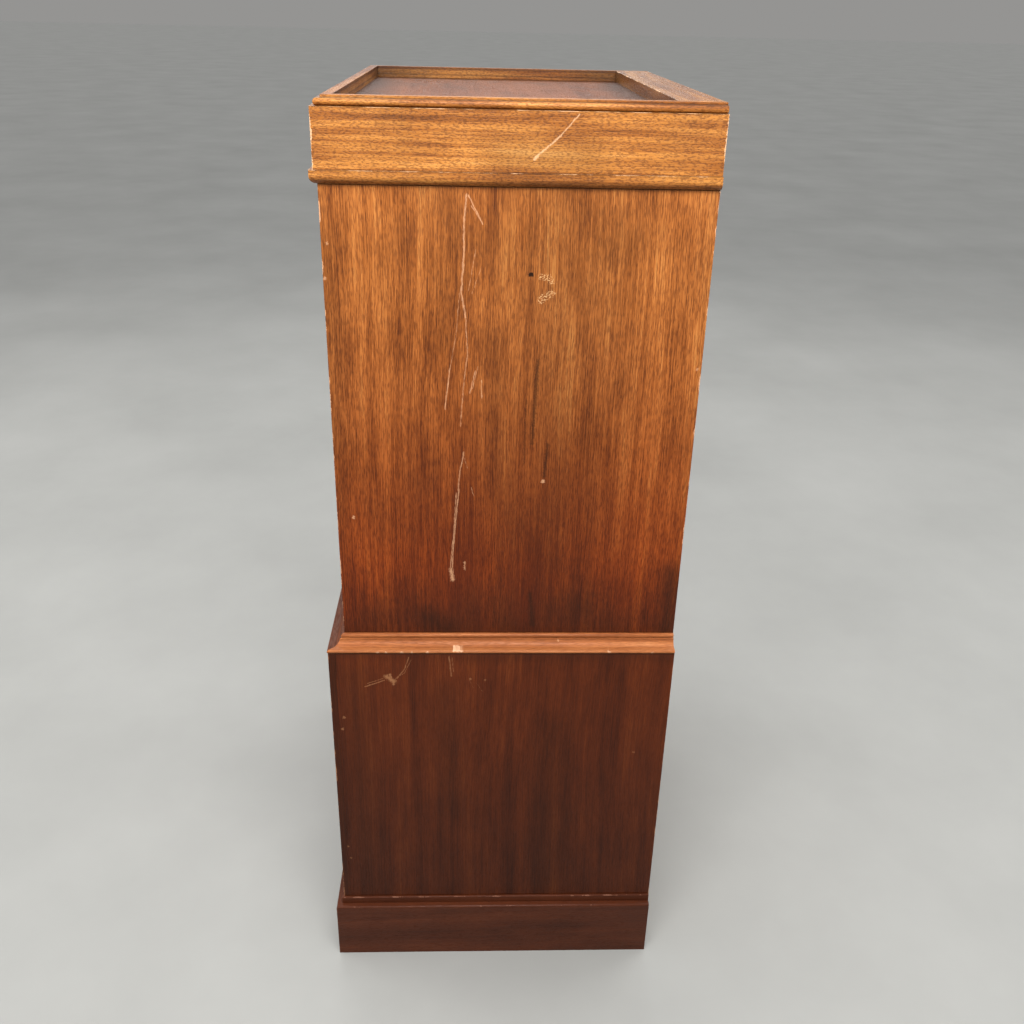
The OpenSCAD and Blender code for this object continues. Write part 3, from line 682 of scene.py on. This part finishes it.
def cupboard_side_extra(marked):
    """The cupboard's side: darker and cooler towards the floor as painted shade and painted floor reflection,
    darker at the top, a painted shadow line under the waist moulding, an open joint in front and, on the
    right, its marks.
    """
    def extra(g, place, colour, look):
        y, z = g.split(place, "YZ")
        # Towards the floor: painted shade, and a cooler painted reflection of the floor.
        colour = deepen_and_shade(g, colour, z, cupboard_high.z, cupboard_low.z, look)
        cloud = g.noise(g.vector("MULTIPLY", place, (6, 6, 3)), detail=4, roughness=0.6)
        uneven = g.math("MULTIPLY_ADD", cloud, 0.05, -0.025)
        below = g.math("ADD", g.math("SUBTRACT", cupboard_high.z, z), uneven)
        colour = darken_for_dirt_and_shade(g, colour, below, 20 * MM, 0.30)
        # A painted shadow line just under the waist moulding's nose.
        colour = darken_for_dirt_and_shade(g, colour, g.math("SUBTRACT", cupboard_high.z, z), 2.4 * MM, 0.7)
        open_joint = g.fade(z, cupboard_high.z - 44 * MM, cupboard_high.z - 26 * MM)
        at_front = g.fade(g.math("SUBTRACT", y, cupboard_low.y), 2.0 * MM, 0.0, 0.0, 0.85)
        colour = g.mix(g.math("MULTIPLY", at_front, open_joint), colour, DIRT_AND_SHADE)
        if not marked:
            return colour, 0.0
        marks = Marks(g, place, cupboard_high.z)
        colour = g.mix(marks.strokes(CUPBOARD_STAINS, marks.ragged_point), colour, DIRT_AND_SHADE)
        scratches = marks.worn(marks.strokes(CUPBOARD_SCRATCHES))
        chips = marks.worn(marks.strokes(CUPBOARD_CHIPS, marks.ragged_point))
        rubs = g.math("MAXIMUM", scratches, chips)
        bare = g.math("MULTIPLY", g.math("MAXIMUM", rubs, marks.spots(CUPBOARD_SPOTS)), 0.75)
        colour = g.mix(bare, colour, look["bare"])
        return colour, bare
    return extra


def to_tray_walls(g, place):
    """How far a place is inside the tray's side walls, and inside its front and back walls."""
    x, y = g.split(place, "XY")
    to_side = g.math("SUBTRACT", tray_high.x, g.math("ABSOLUTE", x))
    to_ends = g.math("MINIMUM", g.math("SUBTRACT", y, tray_low.y), g.math("SUBTRACT", tray_high.y, y))
    return to_side, to_ends


def tray_walls(g, place, colour):
    """Painted shade: takes the faces around the tray darker, most of all in its corners; other faces stay as
    they are.
    """
    to_side, to_ends = to_tray_walls(g, place)
    within = g.fade(g.math("MINIMUM", to_side, to_ends), -0.9 * MM, -0.3 * MM)
    corner = g.math("MAXIMUM", to_side, to_ends)
    amount = g.fade(corner, 110 * MM, 10 * MM, 0.20, 0.70)
    return g.mix(g.math("MULTIPLY", within, amount), colour, DIRT_AND_SHADE)


def back_board_extra(g, place, colour, look):
    """The board along the back of the tray: dulled by dust, and painted shade where it faces the tray."""
    colour = g.mix(0.22, colour, DIRT_AND_SHADE)
    return tray_walls(g, place, colour), 0.0


def tray_extra(g, place, colour, look):
    """The tray's panel: smoky patches, and painted shade along its edges by the tray's walls."""
    near = g.math("MINIMUM", *to_tray_walls(g, place))
    colour = patina(g, place, colour, 0.3)
    return darken_for_dirt_and_shade(g, colour, near, 70 * MM, 0.75), 0.0


def face_stile_extra(g, place, colour, look):
    """A face stile: darker on the edge that shows beside the cupboard's side."""
    x = g.split(place, "X")[0]
    to_edge = g.math("SUBTRACT", cupboard_high.x, g.math("ABSOLUTE", x))
    return darken_for_dirt_and_shade(g, colour, to_edge, 3 * MM, 0.45), 0.0


def cornice_extra(marked):
    """Cornice boards: smoky patches, painted shade round the tray's walls and along the beads and, on the
    right, the frieze's scratch and a broad painted shade on the frieze.
    """
    def extra(g, place, colour, look):
        z = g.split(place, "Z")[0]
        colour = tray_walls(g, place, patina(g, place, colour, 0.24))
        rim = g.fade(z, HEIGHT - 6 * MM, HEIGHT - 2 * MM, 0.0, 0.15 if marked else 0.4)
        colour = g.mix(rim, colour, BROWN)
        # Painted shade in thin lines along the beads.
        for edge in (FRIEZE_HIGH_Z, FRIEZE_LOW_Z, cornice_high.z - 2.5 * MM, cornice_low.z):
            away = g.math("ABSOLUTE", g.math("SUBTRACT", z, edge))
            colour = darken_for_dirt_and_shade(g, colour, away, 1.6 * MM, 0.5)
        if not marked:
            return colour, 0.0
        marks = Marks(g, place, FRIEZE_HIGH_Z)
        # Painted shade across the frieze's middle.
        colour = g.mix(marks.strokes(FRIEZE_PAINTED_SHADE), colour, DIRT_AND_SHADE)
        bare = g.math("MULTIPLY", marks.worn(marks.strokes(FRIEZE_SCRATCHES)), 0.60)
        return g.mix(bare, colour, look["bare"]), bare
    return extra


def waist_extra(marked):
    """Waist moulding: darker lines in the quirks and, on the right, its chips."""
    def extra(g, place, colour, look):
        z = g.split(place, "Z")[0]
        for edge, reach in (
            (waist_low.z + 5 * MM, 1.4 * MM),
            (waist_high.z - 6 * MM, 1.4 * MM),
            (waist_low.z, 1.6 * MM),
        ):
            away = g.math("ABSOLUTE", g.math("SUBTRACT", z, edge))
            colour = darken_for_dirt_and_shade(g, colour, away, reach, 0.18)
        if not marked:
            return colour, 0.0
        marks = Marks(g, place, waist_high.z)
        chip = marks.worn(marks.strokes(WAIST_CHIP, marks.ragged_point))
        bare = g.math("MULTIPLY", g.math("MAXIMUM", chip, marks.spots(WAIST_SPOTS)), 0.8)
        return g.mix(bare, colour, look["bare"]), bare
    return extra


def nailed_extra(box):
    """A back panel: smoky patches, and a row of nail heads along its top and along its bottom."""
    def extra(g, place, colour, look):
        low, high = box
        x, z = g.split(place, "XZ")
        colour = patina(g, place, colour, 0.3)
        middle = (low.z + high.z) / 2
        from_middle = g.math("ABSOLUTE", g.math("SUBTRACT", z, middle))
        from_row = g.math("SUBTRACT", from_middle, (high.z - low.z) / 2 - 12 * MM)
        pitch = 65 * MM
        along = g.math("SUBTRACT", g.math("FRACT", g.math("DIVIDE", x, pitch)), 0.5)
        away = g.vector("LENGTH", g.join(g.math("MULTIPLY", along, pitch), from_row, 0.0))
        colour = g.mix(g.fade(away, 2.6 * MM, 2.0 * MM), colour, DIRT_AND_SHADE)
        return colour, 0.0
    return extra


# ---- other materials ----

def brass_material():
    material, g, shader = new_material("aged_brass")
    place = g.add("ShaderNodeTexCoord").outputs["Object"]
    tarnish = g.noise(g.vector("MULTIPLY", place, (140, 140, 140)), detail=4, roughness=0.65)
    colour = g.ramp(tarnish, [(0.25, tone(92, 66, 32)), (0.5, tone(158, 122, 62)), (0.8, tone(196, 160, 92))])
    g.feed(shader.inputs["Base Color"], colour)
    g.feed(shader.inputs["Roughness"], g.math("MULTIPLY_ADD", tarnish, -0.3, 0.5))
    shader.inputs["Metallic"].default_value = 1.0
    return material


def steel_material():
    material, g, shader = new_material("dull_steel")
    place = g.add("ShaderNodeTexCoord").outputs["Object"]
    brushed = g.noise(g.vector("MULTIPLY", place, (900, 60, 900)), detail=3, roughness=0.6)
    colour = g.ramp(brushed, [(0.2, tone(92, 92, 94)), (0.8, tone(150, 150, 152))])
    g.feed(shader.inputs["Base Color"], colour)
    g.feed(shader.inputs["Roughness"], g.math("MULTIPLY_ADD", brushed, 0.25, 0.3))
    shader.inputs["Metallic"].default_value = 1.0
    return material


def glass_material():
    material, g, shader = new_material("old_glass")
    place = g.add("ShaderNodeTexCoord").outputs["Object"]
    wave = g.noise(g.vector("MULTIPLY", place, (9, 9, 6)), detail=1)
    bump = g.add("ShaderNodeBump")
    bump.inputs["Distance"].default_value = 0.0006
    bump.inputs["Strength"].default_value = 0.25
    g.feed(bump.inputs["Height"], wave)
    g.feed(shader.inputs["Normal"], bump.outputs["Normal"])
    smear = g.noise(g.vector("MULTIPLY", place, (30, 30, 30)), detail=4)
    g.feed(shader.inputs["Roughness"], g.fade(smear, 0.55, 0.8, 0.02, 0.10))
    shader.inputs["Base Color"].default_value = (0.93, 0.97, 0.95, 1)
    shader.inputs["Transmission Weight"].default_value = 1.0
    shader.inputs["IOR"].default_value = 1.45
    return material


# Painted shade for the inside of the keyhole, speckled.
def keyhole_shade_material():
    material, g, shader = new_material("keyhole_painted_shade")
    place = g.add("ShaderNodeTexCoord").outputs["Object"]
    dust = g.noise(g.vector("MULTIPLY", place, (300, 300, 300)), detail=2)
    colour = g.ramp(dust, [(0.3, tone(14, 10, 8)), (0.8, tone(36, 26, 20))])
    g.feed(shader.inputs["Base Color"], colour)
    shader.inputs["Roughness"].default_value = 0.9
    return material


def floor_material():
    material, g, shader = new_material("studio_floor")
    place = g.add("ShaderNodeTexCoord").outputs["Object"]
    cloud = g.noise(g.vector("MULTIPLY", place, (1.6, 1.6, 1.6)), detail=5, roughness=0.6)
    colour = g.ramp(cloud, [(0.3, tone(148, 149, 147)), (0.7, tone(160, 161, 159))])
    g.feed(shader.inputs["Base Color"], colour)
    shader.inputs["Roughness"].default_value = 0.55
    return material


# ---- finishing the CAD nodes ----

def round_edges(node, width):
    weld = node.modifiers.new("weld", "WELD")
    weld.merge_threshold = 0.00002
    bevel = node.modifiers.new("round_edges", "BEVEL")
    bevel.width = width
    bevel.segments = 2
    bevel.limit_method = "ANGLE"
    bevel.angle_limit = math.radians(40)
    bevel.harden_normals = True


def paint(name, material):
    node = nodes[name]
    node.data.materials.clear()
    node.data.materials.append(material)


FRIEZE_X = case_high.x + FRIEZE_PROUD
FRIEZE_Y = CASE_FRONT_Y - FRIEZE_PROUD
fillet_low, fillet_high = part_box("plinth_fillets")
WORN_CASE = [
    ("Z", (case_high.x, case_low.y, 0), 1.0),
    ("Z", (case_high.x, case_high.y, 0), 1.0),
]
WORN_CORNICE = [
    ("Z", (FRIEZE_X, FRIEZE_Y, 0), 1.4),
    ("Z", (FRIEZE_X, BACK_Y, 0), 1.2),
    # The lines along the frieze's top and its lower bead are partly wear and partly a painted highlight along
    # the beads.
    ("Y", (FRIEZE_X, 0, FRIEZE_HIGH_Z), 0.4),
    ("X", (0, FRIEZE_Y, FRIEZE_HIGH_Z), 0.4),
    ("Y", (cornice_high.x, 0, FRIEZE_LOW_Z), 0.5),
    ("X", (0, cornice_low.y, FRIEZE_LOW_Z), 0.5),
]
WORN_WAIST = [
    ("Y", (waist_high.x, 0, waist_low.z), 0.6),
    ("X", (0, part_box("waist_moulding_front")[0].y, waist_low.z), 0.6),
]
WORN_CUPBOARD = [("Z", (cupboard_high.x, cupboard_high.y, 0), 0.8)]
WORN_FACE = [("Z", (cupboard_high.x, CUPBOARD_FRONT_Y, 0), 1.0)]
WORN_PLINTH = [
    ("Y", (plinth_high.x, 0, plinth_high.z), 1.2),
    ("X", (0, plinth_low.y, plinth_high.z), 1.2),
    ("Z", (plinth_high.x, plinth_low.y, 0), 1.0),
]
WORN_FILLET = [
    ("Y", (fillet_high.x, 0, fillet_high.z), 1.2),
    ("X", (0, fillet_low.y, fillet_high.z), 1.2),
]


def paint_boards():
    """Paints each wooden node: look, grain, worn edges, drawn marks, and its edges' round in millimetres."""
    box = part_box
    boards = [
        ("cornice_side_right", GOLDEN, "Y", WORN_CORNICE, cornice_extra(True), 0.7),
        ("cornice_side_left", GOLDEN, "Y", WORN_CORNICE, cornice_extra(False), 0.7),
        ("cornice_front", GOLDEN, "X", WORN_CORNICE, cornice_extra(False), 0.7),
        ("cornice_back_board", RIM, "X", box("cornice_back_board"), back_board_extra, 0.7),
        ("cornice_rear_rail", INSIDE, "X", None, None, 0.7),
        ("tray_panel", TRAY, "X", None, tray_extra, 0.3),
        ("glue_blocks", INSIDE, "Z", None, None, 0.7),
        ("case_side_right", CASE_RED, "Z", WORN_CASE, case_side_extra(True), 0.7),
        ("case_side_left", CASE_RED, "Z", WORN_CASE, case_side_extra(False), 0.7),
        ("case_top_board", CASE_RED, "X", box("case_top_board"), None, 0.7),
        ("case_middle_board", CASE_RED, "X", box("case_middle_board"), None, 0.7),
        ("case_bottom_board", CASE_RED, "X", box("case_bottom_board"), None, 0.7),
        ("case_back_panel", INSIDE, "Z", None, nailed_extra(box("case_back_panel")), 0.3),
        ("waist_moulding_right", WAIST, "Y", WORN_WAIST, waist_extra(True), 0.5),
        ("waist_moulding_left", WAIST, "Y", WORN_WAIST, waist_extra(False), 0.5),
        ("waist_moulding_front", WAIST_FRONT_IN_SHADE, "X", WORN_WAIST, waist_extra(False), 0.5),
        ("waist_board", INSIDE, "X", None, None, 0.7),
        ("cupboard_side_right", DARK, "Z", WORN_CUPBOARD, cupboard_side_extra(True), 0.3),
        ("cupboard_side_left", DARK, "Z", WORN_CUPBOARD, cupboard_side_extra(False), 0.3),
        ("cupboard_bottom_board", INSIDE, "X", None, None, 0.7),
        ("cupboard_shelf", INSIDE, "X", box("cupboard_shelf"), None, 0.7),
        ("cupboard_back_panel", INSIDE, "Z", None, nailed_extra(box("cupboard_back_panel")), 0.3),
        ("face_stiles", DARK, "Z", WORN_FACE, face_stile_extra, 0.4),
        ("face_rails", DARK, "X", None, None, 0.4),
        ("plinth_right", PLINTH, "Y", WORN_PLINTH, None, 1.0),
        ("plinth_left", PLINTH, "Y", WORN_PLINTH, None, 1.0),
        ("plinth_front", PLINTH, "X", WORN_PLINTH, None, 1.0),
        ("plinth_rear", INSIDE, "X", None, None, 0.7),
        ("plinth_fillets", PLINTH, "Y", WORN_FILLET, None, 0.4),
    ]
    for tier in ("top_tier_", "bottom_tier_"):
        boards += [
            (tier + "door_stiles", CASE_RED, "Z", box(tier + "door_stiles"), None, 0.8),
            (tier + "door_top_rail", CASE_RED, "X", None, None, 0.5),
            (tier + "door_bottom_rail", CASE_RED, "X", None, None, 0.5),
            (tier + "glazing_beads", CASE_RED, "X", None, None, 0.8),
            (tier + "equaliser_bar", CASE_RED, "X", None, None, 0.7),
        ]
    for side in ("left_door_", "right_door_"):
        boards += [
            (side + "stiles", DARK, "Z", box(side + "stiles"), None, 0.8),
            (side + "rails", DARK, "X", None, None, 0.5),
            (side + "panel", DARK, "Z", None, None, 0.5),
        ]
    for seed, (name, look, grain, worn, extra, bevel) in enumerate(boards, start=2):
        paint(name, wood_material("wood_" + name, look, grain, seed, worn, extra))
        round_edges(nodes[name], bevel * MM)


def paint_metal_and_glass(brass, steel, glass):
    for name in ("shelf_pegs", "fixed_hinge_leaves", "door_catches"):
        paint(name, brass)
    for side in ("left_door_", "right_door_"):
        paint(side + "knob", brass)
        paint(side + "hinge_leaves", brass)
    for tier in ("top_tier_", "bottom_tier_"):
        paint(tier + "knobs", brass)
        paint(tier + "pivot_pins", steel)
        paint(tier + "guide_shoes", steel)
        round_edges(nodes[tier + "guide_shoes"], 0.4 * MM)
        paint(tier + "glass", glass)
        nodes[tier + "glass"].visible_shadow = False


# ---- added pieces ----

def add_piece(name, points, faces, material, body):
    """Makes a mesh piece that rides a CAD body and takes its finish from a slot."""
    mesh = bpy.data.meshes.new(name)
    mesh.from_pydata(points, [], faces)
    shape = bmesh.new()
    shape.from_mesh(mesh)
    bmesh.ops.recalc_face_normals(shape, faces=shape.faces)
    shape.to_mesh(mesh)
    shape.free()
    mesh.materials.append(material)
    piece = bpy.data.objects.new(name, mesh)
    bpy.context.scene.collection.objects.link(piece)
    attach(piece, body)
    return piece


def mitred_frame(low, high, profile):
    """A moulding run round the inside of an opening; profile points are how far in from its edge, and y."""
    corners = [(low.x, low.z, 1, 1), (high.x, low.z, -1, 1), (high.x, high.z, -1, -1), (low.x, high.z, 1, -1)]
    count = len(profile)
    points = [
        (x + x_in * inset, y, z + z_in * inset)
        for x, z, x_in, z_in in corners
        for inset, y in profile
    ]
    faces = [
        (
            corner * count + i,
            corner * count + (i + 1) % count,
            (corner + 1) % 4 * count + (i + 1) % count,
            (corner + 1) % 4 * count + i,
        )
        for corner in range(4)
        for i in range(count)
    ]
    return points, faces


def ovolo(front_y, seat_y, width):
    """A quarter-round with a small step at the front, seated on a panel or a pane."""
    depth = seat_y - front_y
    bury = 0.4 * MM
    step = 1.0 * MM
    set_back = 0.4 * MM
    turns = [math.radians(90 * i / 6) for i in range(7)]
    curve = [
        (step + (width - step) * math.sin(turn), front_y + step + (depth - step) * (1 - math.cos(turn)))
        for turn in turns
    ]
    face = [(-bury, front_y + set_back), (step, front_y + set_back)]
    back = [(width, seat_y + bury), (-bury, seat_y + bury)]
    return face + curve + back


def opening_between(left, right, top, bottom):
    """A door's clear opening, as its low and high corners."""
    return Vector((left, 0, bottom)), Vector((right, 0, top))


def add_sight_mouldings():
    """The stuck moulding round each pane of the glazed doors."""
    for tier in ("top", "bottom"):
        top_low, top_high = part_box(tier + "_tier_door_top_rail")
        bottom_low, bottom_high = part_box(tier + "_tier_door_bottom_rail")
        glass_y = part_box(tier + "_tier_glass")[0].y
        opening = opening_between(top_low.x, top_high.x, top_low.z, bottom_high.z)
        profile = ovolo(bottom_low.y + 0.8 * MM, glass_y - 0.2 * MM, 6 * MM)
        points, faces = mitred_frame(*opening, profile)
        material = wood_material(tier + "_sight_moulding_wood", CASE_RED, "X", 60)
        add_piece(tier + "_sight_moulding", points, faces, material, tier + "_door")


def add_panel_mouldings():
    """The moulding round each cupboard door's panel."""
    stile_w = 46 * MM
    rail_h = 50 * MM
    plate_t = 6 * MM
    for side in ("left", "right"):
        low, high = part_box(side + "_door_stiles")
        plate_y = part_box(side + "_door_panel")[1].y - plate_t
        opening = opening_between(low.x + stile_w, high.x - stile_w, high.z - rail_h, low.z + rail_h)
        profile = ovolo(low.y + 1.0 * MM, plate_y, 8 * MM)
        points, faces = mitred_frame(*opening, profile)
        material = wood_material(side + "_panel_moulding_wood", DARK, "Z", 70)
        add_piece(side + "_panel_moulding", points, faces, material, side + "_cupboard_door")


def keyhole_outline():
    """A round hole with a slot that widens below it."""
    hole_r = 2.4 * MM
    slot_half_w = 2.0 * MM
    slot_low = -8.0 * MM
    turns = [math.radians(-60 + 300 * i / 18) for i in range(19)]
    round_part = [(hole_r * math.cos(turn), hole_r * math.sin(turn)) for turn in turns]
    return round_part + [(-slot_half_w, slot_low), (slot_half_w, slot_low)]


def add_escutcheon(brass, dark):
    """A brass keyhole plate on the right door's meeting stile, with a dark disc behind it as painted shade in
    the keyhole.
    """
    knob_low, knob_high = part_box("right_door_knob")
    face_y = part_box("right_door_stiles")[0].y
    below_knob = 42 * MM
    centre = Vector(((knob_low.x + knob_high.x) / 2, 0, knob_low.z - below_knob))
    plate_t = 1.2 * MM
    half_w = 8.5 * MM
    half_h = 14.0 * MM
    drop = 2 * MM
    turns = [math.radians(360 * i / 32) for i in range(32)]
    rim = [(half_w * math.cos(turn), half_h * math.sin(turn) - drop) for turn in turns]
    plate = bmesh.new()
    edges = []
    for outline in (rim, keyhole_outline()):
        ring = [plate.verts.new((centre.x + x, face_y - plate_t, centre.z + z)) for x, z in outline]
        edges += [plate.edges.new((a, b)) for a, b in zip(ring, ring[1:] + ring[:1])]
    bmesh.ops.triangle_fill(plate, use_beauty=True, use_dissolve=False, edges=edges)
    points = [tuple(vertex.co) for vertex in plate.verts]
    plate.verts.index_update()
    faces = [tuple(vertex.index for vertex in face.verts) for face in plate.faces]
    plate.free()
    piece = add_piece("keyhole_plate", points, faces, brass, "right_cupboard_door")
    thickness = piece.modifiers.new("thickness", "SOLIDIFY")
    thickness.thickness = plate_t
    thickness.offset = 0
    rounding = piece.modifiers.new("round_rim", "BEVEL")
    rounding.width = 0.4 * MM
    rounding.segments = 2
    rounding.limit_method = "ANGLE"
    # A dark disc just behind the plate: painted shade inside the keyhole.
    hole = [(centre.x + 1.6 * x, face_y - 0.15 * MM, centre.z + 1.15 * z) for x, z in keyhole_outline()]
    add_piece("keyhole", hole, [tuple(range(len(hole)))], dark, "right_cupboard_door")


def slotted_head(centre, towards, radius):
    """A flat screw head in two halves with its slot between them; towards is 1 or -1 along x."""
    half_slot = 0.35 * MM
    sunk = 0.6 * MM
    proud = 0.12 * MM
    turns = [math.radians(180 * i / 10) for i in range(11)]
    points = []
    faces = []
    for half in (-1, 1):
        outline = [(radius * math.cos(turn), half * (half_slot + radius * math.sin(turn))) for turn in turns]
        start = len(points)
        for lift in (-sunk, proud):
            points += [(centre[0] + towards * lift, centre[1] + y, centre[2] + z) for y, z in outline]
        count = len(outline)
        faces.append(tuple(range(start + count, start + 2 * count)))
        faces += [
            (start + i, start + (i + 1) % count, start + count + (i + 1) % count, start + count + i)
            for i in range(count)
        ]
    return points, faces


def add_hinge_screws(steel):
    """Three screws in each hinge leaf."""
    knuckle_r = 3 * MM
    half_gap = 0.75 * MM
    head_r = 2.4 * MM
    from_back = 7 * MM
    spots = (10 * MM, 25 * MM, 40 * MM)

    def heads(box, side, towards):
        low, high = box
        hinge_x = (high.x if side > 0 else -low.x) - knuckle_r
        face_x = side * (hinge_x + towards * half_gap)
        points = []
        faces = []
        for z in [low.z + spot for spot in spots] + [high.z - spot for spot in spots]:
            centre = (face_x, high.y - from_back, z)
            more_points, more_faces = slotted_head(centre, -side * towards, head_r)
            faces += [tuple(index + len(points) for index in face) for face in more_faces]
            points += more_points
        return points, faces

    for side, sign in (("left", -1), ("right", 1)):
        points, faces = heads(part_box(side + "_door_hinge_leaves"), sign, -1)
        add_piece(side + "_door_hinge_screws", points, faces, steel, side + "_cupboard_door")
        points, faces = heads(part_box("fixed_hinge_leaves"), sign, 1)
        add_piece(side + "_fixed_hinge_screws", points, faces, steel, "case")


def make_floor():
    mesh = bpy.data.meshes.new("floor")
    reach = 60
    corners = [(-reach, -reach, 0), (reach, -reach, 0), (reach, reach, 0), (-reach, reach, 0)]
    mesh.from_pydata(corners, [], [(0, 1, 2, 3)])
    floor = bpy.data.objects.new("floor", mesh)
    bpy.context.scene.collection.objects.link(floor)
    mesh.materials.append(floor_material())


bpy.context.scene.view_settings.view_transform = "Standard"
make_camera()
light_the_studio()
make_floor()
brass = brass_material()
steel = steel_material()
paint_boards()
paint_metal_and_glass(brass, steel, glass_material())
add_sight_mouldings()
add_panel_mouldings()
add_escutcheon(brass, keyhole_shade_material())
add_hinge_screws(steel)
